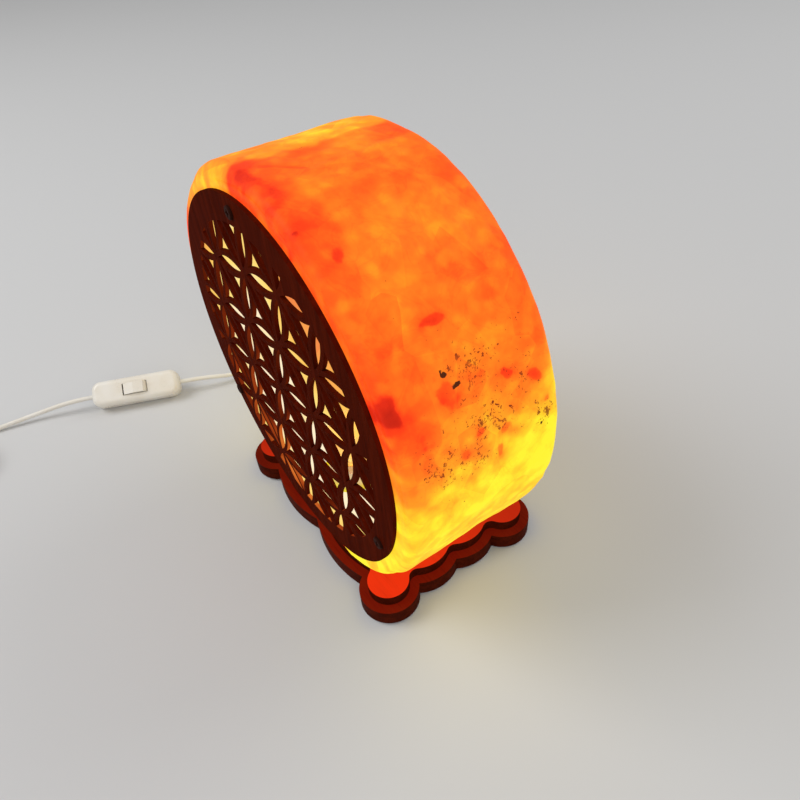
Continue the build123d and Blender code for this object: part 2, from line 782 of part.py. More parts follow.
def make_switch_half(upper):
    """One of the two shells: the upper has the rocker's window, the lower the screws."""
    whole = switch_block(0)
    hollow = switch_block(switch_wall)
    ends = switch_wall + switch_end_block
    hollow &= block(ends, switch_length - ends, -half_w, half_w, -half_h, half_h)
    if upper:
        shell = whole - block(-1, switch_length + 1, -half_w, half_w, -half_h - 1, split_z)
    else:
        shell = whole - block(-1, switch_length + 1, -half_w, half_w, split_z, half_h + 1)
    shell -= hollow
    shell -= cord_sockets()
    boss = 2 * switch_screw_radius + switch_boss_wall
    for x, y in switch_screw_places:
        if upper:
            shell += rod((x, y, split_z), (0, 0, 1), boss, half_h - split_z - switch_boss_floor)
            shell -= rod((x, y, split_z - 1), (0, 0, 1), switch_screw_radius + seat_gap,
                         switch_screw_length + 1)
        else:
            shell += rod((x, y, -half_h + switch_boss_floor), (0, 0, 1), boss,
                         switch_split - switch_boss_floor)
            shell -= rod((x, y, -half_h - 1), (0, 0, 1), switch_screw_head + seat_gap,
                         switch_screw_seat + 1)
            shell -= rod((x, y, -half_h - 1), (0, 0, 1), switch_screw_radius + seat_gap,
                         switch_split + 2)
    if upper:
        window_x = rocker_length / 2 + slot_gap
        window_y = rocker_width / 2 + slot_gap
        cheeks_y = window_y + cheek_width
        shell += block(pivot_x - cheek_half_length, pivot_x + cheek_half_length, -cheeks_y,
                       cheeks_y, pivot_z - cheek_drop, half_h - cheek_cover)
        shell -= block(pivot_x - window_x, pivot_x + window_x, -window_y, window_y,
                       split_z - 1, half_h + 1)
        shell -= rod((pivot_x, -cheeks_y, pivot_z), (0, 1, 0), rocker_pin_radius + seat_gap,
                     2 * cheeks_y)
    return shell


def make_rocker():
    """The rocker: a round-ended bar about its pivot with two sloping faces on top."""
    radius = rocker_length / 2
    top = half_h + rocker_rise - pivot_z
    slope = tan(radians(rocker_tilt))
    profile = Circle(radius).face()
    crown = Rectangle(4 * radius, rocker_crown_depth).face()
    profile &= Pos(0, top - rocker_crown_depth / 2) * crown
    wedge = make_face(Polyline((0, top + 0.01), (2 * radius, top - 2 * radius * slope),
                               (2 * radius, top + 9), (-2 * radius, top + 9),
                               (-2 * radius, top - 2 * radius * slope), close=True))
    low = -rocker_floor_drop
    floor = make_face(Polyline((-2 * radius, low), (2 * radius, low),
                               (2 * radius, -20), (-2 * radius, -20), close=True))
    profile = profile - wedge - floor
    face = Plane.XZ * profile
    bar = extrude(face, rocker_width / 2, both=True)
    top_edges = bar.edges().filter_by(lambda e: e.center().Z > 1.0)
    bar = fillet(top_edges.filter_by(GeomType.LINE).filter_by(Axis.Y), rocker_edge)
    bar -= rod((0, -rocker_width, 0), (0, 1, 0), rocker_pin_radius + running_gap, 2 * rocker_width)
    return Pos(pivot_x, 0, pivot_z) * Rot(0, rocker_tilt, 0) * bar


def make_rocker_pin():
    reach = rocker_width / 2 + slot_gap + cheek_width - seat_gap
    return rod((pivot_x, -reach, pivot_z), (0, 1, 0), rocker_pin_radius, 2 * reach)


def make_switch_screws():
    seat = -half_h + switch_screw_seat
    return group([screw((x, y, seat), (0, 0, 1), switch_screw_head, switch_screw_crown,
                        switch_screw_radius, switch_screw_length)
                  for x, y in switch_screw_places])


def make_switch_contacts():
    """Two brass strips on the lower shell's floor, one under each end of the rocker."""
    floor = -half_h + switch_wall
    length, width, thickness = contact_size
    strips = []
    for sign in (-1, 1):
        x = pivot_x + sign * contact_spread
        strips.append(block(x - length / 2, x + length / 2, -width / 2, width / 2,
                            floor, floor + thickness))
    return group(strips)


# ---------------------------------------------------------------- plug
# Drawn with the cord's end at the origin, the pins ahead along +X, and then turned and set down.
plug_z = plug_height / 2
plug_location = Pos(plug_place[0], plug_place[1], plug_z) * Rot(0, 0, plug_heading)
plug_front = plug_boot_length + plug_neck + plug_length


def make_plug_body():
    """A flat moulded body that narrows to the cord."""
    wide = Plane(origin=(plug_boot_length + plug_neck, 0, 0), x_dir=(0, 1, 0), z_dir=(1, 0, 0))
    narrow = Plane(origin=(plug_boot_length, 0, 0), x_dir=(0, 1, 0), z_dir=(1, 0, 0))
    corner = plug_height * 0.36
    full = wide * RectangleRounded(plug_width, plug_height, corner)
    small = narrow * RectangleRounded(plug_width * 0.42, plug_height * 0.72, corner * 0.7)
    body = extrude(full, plug_length) + loft([small, full])
    for sign in (-1, 1):
        body -= rod((plug_front - plug_pin_root, sign * plug_pin_spacing / 2, 0), (1, 0, 0),
                    plug_pin_radius + seat_gap, plug_pin_root + 1)
    return body


def make_plug_pins():
    pins = []
    for sign in (-1, 1):
        y = sign * plug_pin_spacing / 2
        pin = rod((plug_front - plug_pin_root, y, 0), (1, 0, 0), plug_pin_radius,
                  plug_pin_root + plug_pin_length)
        end = pin.edges().filter_by(GeomType.CIRCLE).sort_by(Axis.X)[-1]
        pin = fillet(end, plug_pin_radius * 0.7)
        groove = rod((plug_front, y, 0), (1, 0, 0), plug_pin_radius + 1, pin_sleeve_length)
        groove -= rod((plug_front - 1, y, 0), (1, 0, 0), plug_pin_radius * 0.75,
                      pin_sleeve_length + 2)
        pins.append(pin - groove)
    return group(pins)


def make_pin_sleeves():
    sleeves = []
    for sign in (-1, 1):
        y = sign * plug_pin_spacing / 2
        sleeve = rod((plug_front, y, 0), (1, 0, 0), plug_pin_radius - 0.1, pin_sleeve_length)
        sleeve -= rod((plug_front - 1, y, 0), (1, 0, 0), plug_pin_radius * 0.75 + 0.02,
                      pin_sleeve_length + 2)
        sleeves.append(sleeve)
    return group(sleeves)


def make_plug_boot():
    """Ribbed in use, plain here: the tapered sleeve between cord and plug."""
    boot = cone((0, 0, 0), (1, 0, 0), cord_radius + boot_tip_wall, plug_height * 0.3,
                plug_boot_length)
    return boot - rod((-1, 0, 0), (1, 0, 0), cord_radius + seat_gap, socket_depth + 1)


# ---------------------------------------------------------------- cord routes
def spot(location, x):
    """The point x along a placed piece's own axis."""
    p = (location * Pos(x, 0, 0)).position
    return (p.X, p.Y, p.Z)


def tube_route(name, points, radius=cord_radius):
    """A tube along straight runs joined by arcs, each as large as its two runs allow."""
    radii = []
    for before, here, after in zip(points, points[1:], points[2:]):
        run_in = Vector(*here) - Vector(*before)
        run_out = Vector(*after) - Vector(*here)
        turn = radians(run_in.get_angle(run_out))
        shorter = min(run_in.length, run_out.length)
        radii.append(0.45 * shorter / tan(turn / 2))
    path = FilletPolyline(*points, radius=radii)
    section = Plane(origin=path @ 0, z_dir=path % 0) * Circle(radius)
    solid = sweep(section, path=path)
    expected = pi * radius ** 2 * path.length
    print(f"{name}: length {path.length:.1f}, radii {min(radii):.1f} to {max(radii):.1f}, "
          f"volume {solid.volume:.1f} against {expected:.1f}")
    return solid


def ahead(point, way, distance, z):
    """A point further along a level way, at height z."""
    return (point[0] + way[0] * distance, point[1] + way[1] * distance, z)


floor_z = cord_radius
switch_way = (cos(radians(switch_heading)), sin(radians(switch_heading)))
switch_far = spot(switch_place, switch_length - socket_depth)
switch_near = spot(switch_place, socket_depth)

lamp_to_switch = [
    (0, gland_end, cord_height_in_base),
    (0, gland_end + 15, cord_height_in_base),
    (-7, gland_end + 35, floor_z + 0.6),
    (-28, 120, floor_z),
    (-60, 124, floor_z),
    (-96, 118, floor_z),
    (-128, 102, floor_z),
    (-150, 80, floor_z),
    (-161, 54, floor_z),
    (-162, 26, floor_z),
    (-159, -4, floor_z + 0.6),
    (-161, -29, floor_z + 3.6),
    ahead(switch_near, switch_way, -20, switch_z),
    switch_near,
]


# coil: its own X axis carries the ends of every half turn
def half_turn(start, start_way, end, end_way):
    """Two tangent arcs from start to end that leave and arrive along the given ways."""
    p0 = Vector(*start)
    p1 = Vector(*end)
    t0 = Vector(*start_way)
    t1 = Vector(*end_way)
    gap = p1 - p0
    both = t0 + t1
    a = 4 - both.dot(both)
    b = 2 * gap.dot(both)
    c = -gap.dot(gap)
    reach = (-b + sqrt(b * b - 4 * a * c)) / (2 * a)
    joint = (p0 + t0 * reach + p1 - t1 * reach) * 0.5
    middle_way = (p1 - t1 * reach - p0 - t0 * reach).normalized()
    return [TangentArc(tuple(p0), tuple(joint), tangent=tuple(t0)),
            TangentArc(tuple(joint), tuple(p1), tangent=tuple(middle_way))]


coil_pitch = cord_diameter + coil_gap
coil_straight = cord_diameter


def coil_path():
    """Layers that wind in and out again, with each climb in the half turn that reverses."""
    half_span = coil_pitch * coil_turns / 2
    radius = coil_middle_radius + half_span
    height = cord_radius
    inward = -1
    side = 1
    way = 1
    edges = [Line((radius, -coil_straight, height), (radius, 0, height))]
    here = (radius, 0, height)
    for layer in range(coil_layers):
        last = layer == coil_layers - 1
        for half in range(2 * coil_turns - (1 if last else 0)):
            radius += inward * coil_pitch / 2
            side = -side
            there = (side * radius, 0, height)
            edges += half_turn(here, (0, way, 0), there, (0, -way, 0))
            here = there
            way = -way
        if not last:
            side = -side
            height += coil_pitch
            there = (side * radius, 0, height)
            edges += half_turn(here, (0, way, 0), there, (0, -way, 0))
            here = there
            way = -way
            inward = -inward
    end = (here[0], way * coil_straight, here[2])
    edges.append(Line(here, end))
    return Wire(edges), end, way


coil_location = Pos(coil_centre[0], coil_centre[1], 0) * Rot(0, 0, coil_heading)
coil_wire, coil_end_local, coil_end_way = coil_path()
coil_start_local = (coil_middle_radius + coil_pitch * coil_turns / 2, -coil_straight, cord_radius)


def on_floor(location, point):
    p = (location * Pos(*point)).position
    return (p.X, p.Y, p.Z)


coil_start = on_floor(coil_location, coil_start_local)
coil_end = on_floor(coil_location, coil_end_local)
coil_start_way = on_floor(Rot(0, 0, coil_heading), (0, 1, 0))
coil_end_dir = on_floor(Rot(0, 0, coil_heading), (0, coil_end_way, 0))


def make_coil():
    section = Plane(origin=coil_wire @ 0, z_dir=coil_wire % 0) * Circle(cord_radius)
    solid = sweep(section, path=coil_wire)
    count = int(coil_wire.length / 1.5)
    points = [coil_wire @ (k / count) for k in range(count + 1)]
    step = coil_wire.length / count
    skip = int(3 * cord_diameter / step) + 1
    least = min((points[i] - points[j]).length
                for i in range(len(points)) for j in range(i + skip, len(points)))
    print(f"coil: {coil_turns * coil_layers} turns, length {coil_wire.length:.0f}, "
          f"least gap to itself {least - cord_diameter:.2f}, volume {solid.volume:.0f} "
          f"against {pi * cord_radius ** 2 * coil_wire.length:.0f}")
    return coil_location * solid


switch_to_coil = [
    switch_far,
    ahead(switch_far, switch_way, 18, switch_z),
    (-214.5, -161, 4.6),
    ahead(coil_start, coil_start_way, -25, floor_z),
    coil_start,
]
plug_way = (cos(radians(plug_heading)), sin(radians(plug_heading)))
plug_socket = spot(plug_location, socket_depth)
coil_to_plug = [
    coil_end,
    ahead(coil_end, coil_end_dir, 24, coil_end[2]),
    (-203, -269, 11.0),
    ahead(plug_socket, plug_way, -20, plug_z),
    plug_socket,
]

# ---------------------------------------------------------------- build and write every node
save("felt_pads", make_pads())
save("base_lower_plate", make_lower_plate())
save("base_upper_plate", make_upper_plate())
save("base_screws", make_base_screws())
save("base_wall_plugs", make_base_plugs())
save("salt_body", make_salt())
save("front_grille", make_grille())
save("grille_screws", make_grille_screws())
save("grille_wall_plugs", make_grille_plugs())
save("holder_sleeve", make_sleeve())
save("holder_core", make_core())
save("holder_screw_shell", make_contact_shell())
save("holder_centre_contact", make_centre_contact())
save("holder_lower_cap", make_holder_cap())
save("holder_spring_clip", make_clip())
save("clip_screws", make_clip_screws())
save("bulb_glass", make_glass())
save("bulb_cap", make_cap_shell())
save("bulb_cap_insulator", make_cap_insulator())
save("bulb_contact_tip", make_tip())
save("bulb_stem", make_stem())
save("bulb_lead_wires", make_lead_wires())
save("bulb_filament", make_filament())
save("cord_gland", make_gland())
save("cord_in_base", make_inner_cord())
save("cord_lamp_to_switch", tube_route("cord_lamp_to_switch", lamp_to_switch))
save("switch_lower_shell", switch_place * make_switch_half(False))
save("switch_upper_shell", switch_place * make_switch_half(True))
save("switch_rocker", switch_place * make_rocker())
save("switch_rocker_pin", switch_place * make_rocker_pin())
save("switch_screws", switch_place * make_switch_screws())
save("switch_contacts", switch_place * make_switch_contacts())
save("cord_switch_to_coil", tube_route("cord_switch_to_coil", switch_to_coil))
save("cord_coil", make_coil())
save("cord_coil_to_plug", tube_route("cord_coil_to_plug", coil_to_plug))
save("plug_body", plug_location * make_plug_body())
save("plug_pins", plug_location * make_plug_pins())
save("plug_pin_sleeves", plug_location * make_pin_sleeves())
save("plug_boot", plug_location * make_plug_boot())

pivot = on_floor(switch_place, (pivot_x, 0, pivot_z))
origin = on_floor(switch_place, (0, 0, 0))
side = on_floor(switch_place, (0, 1, 0))
pivot_axis = tuple(side[k] - origin[k] for k in range(3))
print("rocker pivot", tuple(round(v, 4) for v in pivot))
print("rocker axis", tuple(round(v, 6) for v in pivot_axis))
print("bulb axis", (0, holder_y), "cap", round(cap_bottom, 2), round(cap_top, 2),
      "glass", round(glass_bottom, 2), "sleeve top", round(sleeve_top, 2))
print("drum axis height", drum_z, "salt front and back", salt_front, salt_back)
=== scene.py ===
# %% [markdown]
# # A salt crystal lamp
# A hollow drum of rock salt stands on two scalloped wooden plates, with a pierced wooden disc
# over its open front and a small bulb inside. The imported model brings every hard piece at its
# real size. This lesson gives each piece its finish, and builds again what a plain solid can't
# show: the salt with its dents and its inner light, the soft cord and the plug's grooved boot.

import math

import bpy
import numpy as np
from mathutils import Matrix, Vector


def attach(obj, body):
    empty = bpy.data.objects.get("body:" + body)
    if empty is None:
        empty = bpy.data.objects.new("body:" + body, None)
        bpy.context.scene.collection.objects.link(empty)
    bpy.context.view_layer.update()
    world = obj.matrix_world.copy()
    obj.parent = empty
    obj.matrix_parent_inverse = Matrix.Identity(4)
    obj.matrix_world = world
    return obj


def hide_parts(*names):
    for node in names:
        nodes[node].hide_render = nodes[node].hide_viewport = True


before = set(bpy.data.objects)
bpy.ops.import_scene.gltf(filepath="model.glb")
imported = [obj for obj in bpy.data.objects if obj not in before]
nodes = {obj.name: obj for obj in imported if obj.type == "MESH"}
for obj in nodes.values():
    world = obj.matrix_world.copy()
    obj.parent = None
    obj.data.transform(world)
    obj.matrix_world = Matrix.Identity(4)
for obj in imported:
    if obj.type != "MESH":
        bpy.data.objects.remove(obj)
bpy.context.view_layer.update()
MM = 0.001

# %% [markdown]
# The camera comes first, because the cord has to leave its picture where the photograph's does.
# It was solved from the disc's circles and the base: a wide lens, close to the lamp, looking
# down from its right. The picture is square, so one side of the sensor serves for both.

# %% Camera
CAMERA_PLACE = (0.23677, -0.12777, 0.32044)
PICTURE_RIGHT = Vector((0.57249546, 0.81705336, -0.06835749))
PICTURE_UP = Vector((-0.52392823, 0.42868574, 0.73602157))
FOCAL_PIXELS = 667.6
PICTURE_PIXELS = 800
SENSOR = 36.0

looking_back = PICTURE_RIGHT.cross(PICTURE_UP).normalized()
camera_data = bpy.data.cameras.new("camera")
camera_data.sensor_width = SENSOR
camera_data.lens = FOCAL_PIXELS / PICTURE_PIXELS * SENSOR
camera_data.clip_start = 0.01
camera = bpy.data.objects.new("camera", camera_data)
turned = Matrix((PICTURE_RIGHT, PICTURE_UP, looking_back)).transposed()
camera.matrix_world = Matrix.Translation(CAMERA_PLACE) @ turned.to_4x4()
bpy.context.scene.collection.objects.link(camera)
bpy.context.scene.camera = camera
print("lens", round(camera_data.lens, 2), "mm on a sensor of", SENSOR)

# %% [markdown]
# A material is a small program of nodes. Its maths reads best as ordinary expressions, so one
# small class wraps a socket, and adding or multiplying two of them adds the Math node. Another
# holds a finish: one method adds any node, its settings first and then its sockets.


# %% Shader maths
class Wire:
    """A number that travels through a material. a * b, 1 - a and so on each add a Math node."""

    def __init__(self, finish, socket):
        self.finish = finish
        self.socket = socket

    def maths(self, operation, *values, clamp=False):
        """One Math node; clamp keeps its result between 0 and 1."""
        settings = {"operation": operation, "use_clamp": clamp}
        return self.finish.node("Math", settings, dict(enumerate(values)))

    def __add__(self, other):
        return self.maths("ADD", self, other)

    def __radd__(self, other):
        return self.maths("ADD", other, self)

    def __sub__(self, other):
        return self.maths("SUBTRACT", self, other)

    def __rsub__(self, other):
        return self.maths("SUBTRACT", other, self)

    def __mul__(self, other):
        return self.maths("MULTIPLY", self, other)

    def __rmul__(self, other):
        return self.maths("MULTIPLY", other, self)

    def __rtruediv__(self, other):
        return self.maths("DIVIDE", other, self)

    def __pow__(self, other):
        return self.maths("POWER", self, other)

    def size(self):
        return self.maths("ABSOLUTE", self)

    def clipped(self):
        return self.maths("ADD", self, 0.0, clamp=True)

    def larger(self, other):
        return self.maths("MAXIMUM", self, other)

    def step(self, low, high):
        """0 below low, 1 above high, and a smooth rise between."""
        settings = {"interpolation_type": "SMOOTHSTEP"}
        return self.finish.node("MapRange", settings, {0: self, 1: low, 2: high, 3: 0.0, 4: 1.0})


class Finish:
    """A material with its nodes; every colour is a linear (red, green, blue)."""

    def __init__(self, name, **constants):
        self.material = bpy.data.materials.new(name)
        self.material.use_nodes = True
        self.tree = self.material.node_tree
        self.shader = self.tree.nodes["Principled BSDF"]
        self.set(**constants)

    def set(self, **constants):
        """Set what is the same all over the surface straight on the shader."""
        for socket, value in constants.items():
            self.shader.inputs[socket.replace("_", " ")].default_value = value

    def node(self, kind, settings=None, sockets=None, out=0):
        """Any shader node: its settings, then its sockets, each a constant or a wire."""
        made = self.tree.nodes.new("ShaderNode" + kind)
        for name, value in (settings or {}).items():
            setattr(made, name, value)
        for key, value in (sockets or {}).items():
            if isinstance(value, Wire):
                self.tree.links.new(value.socket, made.inputs[key])
            else:
                made.inputs[key].default_value = value
        return Wire(self, made.outputs[out])

    def place(self):
        """Where a point of the surface lies in the lamp's own frame, in metres."""
        return self.node("TexCoord", out="Object")

    def stretched(self, scale, turn=(0, 0, 0), shift=(0, 0, 0)):
        """The place, shifted, turned and scaled, for a pattern with a direction."""
        sockets = {"Vector": self.place(), "Location": shift, "Rotation": turn, "Scale": scale}
        return self.node("Mapping", {}, sockets)

    def noise(self, place, scale, detail=2.0, roughness=0.5, warp=0.0):
        """Smooth noise around 0.5, with scale waves to a metre."""
        sockets = {"Vector": place, "Scale": scale, "Detail": detail, "Roughness": roughness,
                   "Distortion": warp}
        return self.node("TexNoise", {}, sockets)

    def cells(self, place, scale, feature="F1", out="Distance"):
        """Crystal-like cells, with about scale of them to a metre."""
        return self.node("TexVoronoi", {"feature": feature}, {"Vector": place, "Scale": scale},
                         out)

    def stored(self, name):
        """A number that the mesh keeps at each of its points."""
        return self.node("Attribute", {"attribute_name": name}, out="Fac")

    def ramp(self, value, stops):
        """A colour for each value; stops are (position, colour)."""
        made = self.tree.nodes.new("ShaderNodeValToRGB")
        elements = made.color_ramp.elements
        elements.remove(elements[1])
        elements[0].position = stops[0][0]
        elements[0].color = (*stops[0][1], 1.0)
        for position, colour in stops[1:]:
            elements.new(position).color = (*colour, 1.0)
        self.tree.links.new(value.socket, made.inputs[0])
        return Wire(self, made.outputs[0])

    def mix(self, factor, a, b, blend="MIX"):
        """Colour a where factor is 0, b where it is 1."""
        colours = {0: factor}
        for key, colour in ((6, a), (7, b)):
            colours[key] = colour if isinstance(colour, Wire) else (*colour, 1.0)
        return self.node("Mix", {"data_type": "RGBA", "blend_type": blend}, colours, out=2)

    def split(self, vector):
        """The x, y and z of a vector, as three wires."""
        made = self.tree.nodes.new("ShaderNodeSeparateXYZ")
        self.tree.links.new(vector.socket, made.inputs[0])
        return [Wire(self, socket) for socket in made.outputs]

    def drive(self, **wires):
        """Connect what changes over the surface to the shader."""
        for socket, wire in wires.items():
            self.tree.links.new(wire.socket, self.shader.inputs[socket.replace("_", " ")])

    def relief(self, height, depth):
        """Bump from a height of 0 to 1 that stands for depth metres."""
        sockets = {"Height": height, "Distance": depth, "Strength": 1.0}
        self.drive(Normal=self.node("Bump", {}, sockets, out="Normal"))


def dress(finish, *names):
    """Give CAD nodes a finish; their meshes stay as they are."""
    for name in names:
        mesh = nodes[name].data
        mesh.materials.clear()
        mesh.materials.append(finish.material)


# %% [markdown]
# New surfaces are worked out with numpy, all points at once. A shape is a grid of points; the
# helper joins each four neighbours with a face, and closes the grid where a direction runs round.


# %% Mesh helpers
def grid_faces(rows, columns, wrap_rows=False, wrap_columns=False):
    """Corner numbers of the faces between the points of a grid."""
    r = np.arange(rows if wrap_rows else rows - 1)
    c = np.arange(columns if wrap_columns else columns - 1)
    r, c = np.meshgrid(r, c, indexing="ij")
    r2 = (r + 1) % rows
    c2 = (c + 1) % columns
    corners = [r * columns + c, r * columns + c2, r2 * columns + c2, r2 * columns + c]
    return np.stack(corners, -1).reshape(-1, 4)


def make_piece(name, data):
    """An object at the origin for a mesh or curve whose points lie in the lamp's frame."""
    piece = bpy.data.objects.new(name, data)
    bpy.context.scene.collection.objects.link(piece)
    return piece


def turned_piece(name, profile, finish, origin, axis, steps=48):
    """A closed shape spun from (radius, height) pairs about an axis through origin; the first
    and last pairs lie on the axis, at radius 0, and give one pole each."""
    axis = Vector(axis).normalized()
    across = axis.orthogonal().normalized()
    beside = axis.cross(across)
    angle = np.linspace(0, 2 * math.pi, steps, endpoint=False)
    rim = np.cos(angle)[:, None] * np.array(across) + np.sin(angle)[:, None] * np.array(beside)
    profile = np.array(profile, float)
    inner = profile[1:-1]
    rings = (np.array(origin) + inner[:, None, :1] * rim[None]
             + inner[:, None, 1:] * np.array(axis))
    poles = np.array(origin) + profile[[0, -1], 1][:, None] * np.array(axis)
    points = np.concatenate([rings.reshape(-1, 3), poles])
    faces = grid_faces(len(inner), steps, wrap_columns=True).tolist()
    first, last = len(points) - 2, len(points) - 1
    top = (len(inner) - 1) * steps
    for k in range(steps):
        after = (k + 1) % steps
        faces.append([first, after, k])
        faces.append([last, top + k, top + after])
    mesh = bpy.data.meshes.new(name)
    mesh.from_pydata(points, [], faces)
    mesh.polygons.foreach_set("use_smooth", np.full(len(mesh.polygons), True))
    mesh.materials.append(finish.material)
    return make_piece(name, mesh)


# %% [markdown]
# ## Plastics
# The cord, the switch, the gland and the plug are off-white. The hard shells are polished with a
# faint ripple from the mould, and the soft cord is duller and picks up a little grime.


# %% Plastics
GRIME = 0.06


def plastic(name, colour, gloss, ripple=0.00002):
    """A moulded plastic with ripples of that many metres; gloss is its roughness."""
    finish = Finish(name, IOR=1.49)
    place = finish.place()
    cloud = finish.noise(place, 60, 3)
    fine = finish.noise(place, 900, 2)
    yellowed = (1.0, 0.97, 0.92)
    dark = tuple(c * (1 - GRIME) * y for c, y in zip(colour, yellowed))
    finish.drive(Base_Color=finish.mix(cloud.step(0.35, 0.7), dark, colour),
                 Roughness=gloss + 0.10 * (cloud - 0.5) + 0.05 * fine)
    finish.relief(0.7 * finish.noise(place, 220, 2) + 0.3 * fine, ripple)
    return finish


switch_plastic = plastic("switch_plastic", (0.82, 0.79, 0.73), 0.26)
cord_plastic = plastic("cord_plastic", (0.80, 0.78, 0.73), 0.42, 0.00003)
gland_plastic = plastic("gland_plastic", (0.78, 0.76, 0.71), 0.36)
sleeve_plastic = plastic("holder_sleeve_plastic", (0.80, 0.79, 0.75), 0.30)
nylon_grey = plastic("wall_plug_nylon", (0.40, 0.40, 0.39), 0.5)
black_plastic = plastic("pin_sleeve_plastic", (0.02, 0.02, 0.021), 0.4)

# %% [markdown]
# ## The cord
# About 2 m of thin round cord: from the boot at the base's back, round behind the lamp to the
# switch, and from there to a coil of put-away length and the plug. Each free length is one open
# smooth spline whose control points are the route's points, in millimetres. The coil's loops are
# worked out by the same rule as the real winding: in and out again, layer on layer.

# %% Cord routes
CORD_DIAMETER = 3.2 * MM
CORD_RADIUS = CORD_DIAMETER / 2
FLOOR = CORD_RADIUS / MM
BOOT_TIP = (0.0, 71.5, 5.0)
SWITCH_START = Vector((-174.5, -64.5))
SWITCH_HEADING = math.radians(246.6)
SWITCH_LENGTH = 62.0
SWITCH_HEIGHT = 9.356
SOCKET_DEPTH = 2.0
PLUG_START = Vector((-156.0, -273.0))
PLUG_HEADING = math.radians(2.0)
PLUG_HEIGHT = 6.85
COIL_MIDDLE = Vector((-197.0, -225.0))
COIL_HEADING = math.radians(182.0)
COIL_TURNS = 3
COIL_LAYERS = 4
COIL_PITCH = 4.35
COIL_RADIUS = 17.5
COIL_STRAIGHT = 3.2
POINTS_PER_HALF_TURN = 12
END_RUN = 20.0       # straight cord in front of a fitting


def along(start, heading, distance, height):
    """A point at some distance from start along a level heading."""
    way = Vector((math.cos(heading), math.sin(heading)))
    return (*(start + way * distance), height)


switch_near = along(SWITCH_START, SWITCH_HEADING, SOCKET_DEPTH, SWITCH_HEIGHT)
switch_far = along(SWITCH_START, SWITCH_HEADING, SWITCH_LENGTH - SOCKET_DEPTH, SWITCH_HEIGHT)
plug_socket = along(PLUG_START, PLUG_HEADING, SOCKET_DEPTH, PLUG_HEIGHT)

lamp_to_switch = [
    BOOT_TIP,
    (0, 86.5, 5.0),
    (-7, 106.5, FLOOR + 0.6),
    (-28, 120, FLOOR),
    (-60, 124, FLOOR),
    (-96, 118, FLOOR),
    (-128, 102, FLOOR),
    (-150, 80, FLOOR),
    (-161, 54, FLOOR),
    (-162, 26, FLOOR),
    (-159, -4, FLOOR + 0.6),
    (-161, -29, FLOOR + 3.6),
    along(SWITCH_START, SWITCH_HEADING, SOCKET_DEPTH - END_RUN, SWITCH_HEIGHT),
    switch_near,
]


def coil_points():
    """Control points of the coil in its own frame. Over each half turn the angle runs through
    180 degrees, the radius changes by half a pitch, and where the winding reverses the radius
    stays and the height climbs by a pitch along a smooth S."""
    halves = []
    for layer in range(COIL_LAYERS):
        last = layer == COIL_LAYERS - 1
        inward = -1 if layer % 2 == 0 else 1
        halves += [(inward * COIL_PITCH / 2, 0.0)] * (2 * COIL_TURNS - (1 if last else 0))
        if not last:
            halves.append((0.0, COIL_PITCH))
    radius = COIL_RADIUS + COIL_PITCH * COIL_TURNS / 2
    height = FLOOR
    points = [(radius, -COIL_STRAIGHT, height)]
    share = np.arange(1, POINTS_PER_HALF_TURN + 1) / POINTS_PER_HALF_TURN
    share -= 0.5 / POINTS_PER_HALF_TURN
    for number, (widen, climb) in enumerate(halves):
        angle = math.pi * (number + share)
        ring = radius + widen * share
        rise = height + climb * share * share * (3 - 2 * share)
        points += list(zip(ring * np.cos(angle), ring * np.sin(angle), rise))
        radius += widen
        height += climb
    side = math.cos(math.pi * len(halves))
    points.append((side * radius, side * COIL_STRAIGHT, height))
    return np.array(points), side


def onto_floor(points):
    """The coil's own points turned and put where it lies."""
    c, s = math.cos(COIL_HEADING), math.sin(COIL_HEADING)
    x = COIL_MIDDLE.x + c * points[:, 0] - s * points[:, 1]
    y = COIL_MIDDLE.y + s * points[:, 0] + c * points[:, 1]
    return np.column_stack([x, y, points[:, 2]])


loops, last_side = coil_points()
coil = [tuple(p) for p in onto_floor(loops)]
coil_in = COIL_HEADING + math.pi / 2
coil_out = coil_in if last_side > 0 else coil_in + math.pi
coil_start = Vector(coil[0][:2])
coil_end = Vector(coil[-1][:2])

switch_to_plug = [
    switch_far,
    along(SWITCH_START, SWITCH_HEADING, SWITCH_LENGTH - SOCKET_DEPTH + 18, SWITCH_HEIGHT),
    (-214.5, -161, 4.6),
    along(coil_start, coil_in, -25, FLOOR),
    *coil,
    along(coil_end, coil_out, 24, coil[-1][2]),
    (-203, -269, 11.0),
    along(PLUG_START, PLUG_HEADING, SOCKET_DEPTH - END_RUN, PLUG_HEIGHT),
    plug_socket,
]


def lay_cord(name, route, cad_nodes, exit_point):
    """One open spline along the route, a tube of the cord's radius, hung on the lamp's body in
    place of the given CAD nodes, which are hidden."""
    curve = bpy.data.curves.new(name, "CURVE")
    curve.dimensions = "3D"
    spline = curve.splines.new("NURBS")
    spline.points.add(len(route) - 1)
    weighted = np.column_stack([np.array(route) * MM, np.ones(len(route))])
    spline.points.foreach_set("co", weighted.astype(np.float32).ravel())
    spline.order_u = 3
    spline.use_endpoint_u = True
    spline.resolution_u = 6
    curve.bevel_depth = CORD_RADIUS
    curve.bevel_resolution = 4
    curve.use_fill_caps = True
    curve.materials.append(cord_plastic.material)
    cord = make_piece(name, curve)
    line = curve.copy()
    line.bevel_depth = 0.0
    probe = bpy.data.objects.new(name + "_line", line)
    mesh = bpy.data.meshes.new_from_object(probe)
    spots = np.zeros(len(mesh.vertices) * 3)
    mesh.vertices.foreach_get("co", spots)
    bpy.data.objects.remove(probe)
    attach(cord, "lamp")
    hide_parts(*cad_nodes)
    return cord


# %% [markdown]
# The switch cuts the cord in two. The first length joins the lamp to the switch, and the second
# goes on to the coil and the plug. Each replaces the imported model's plain cord along its run.

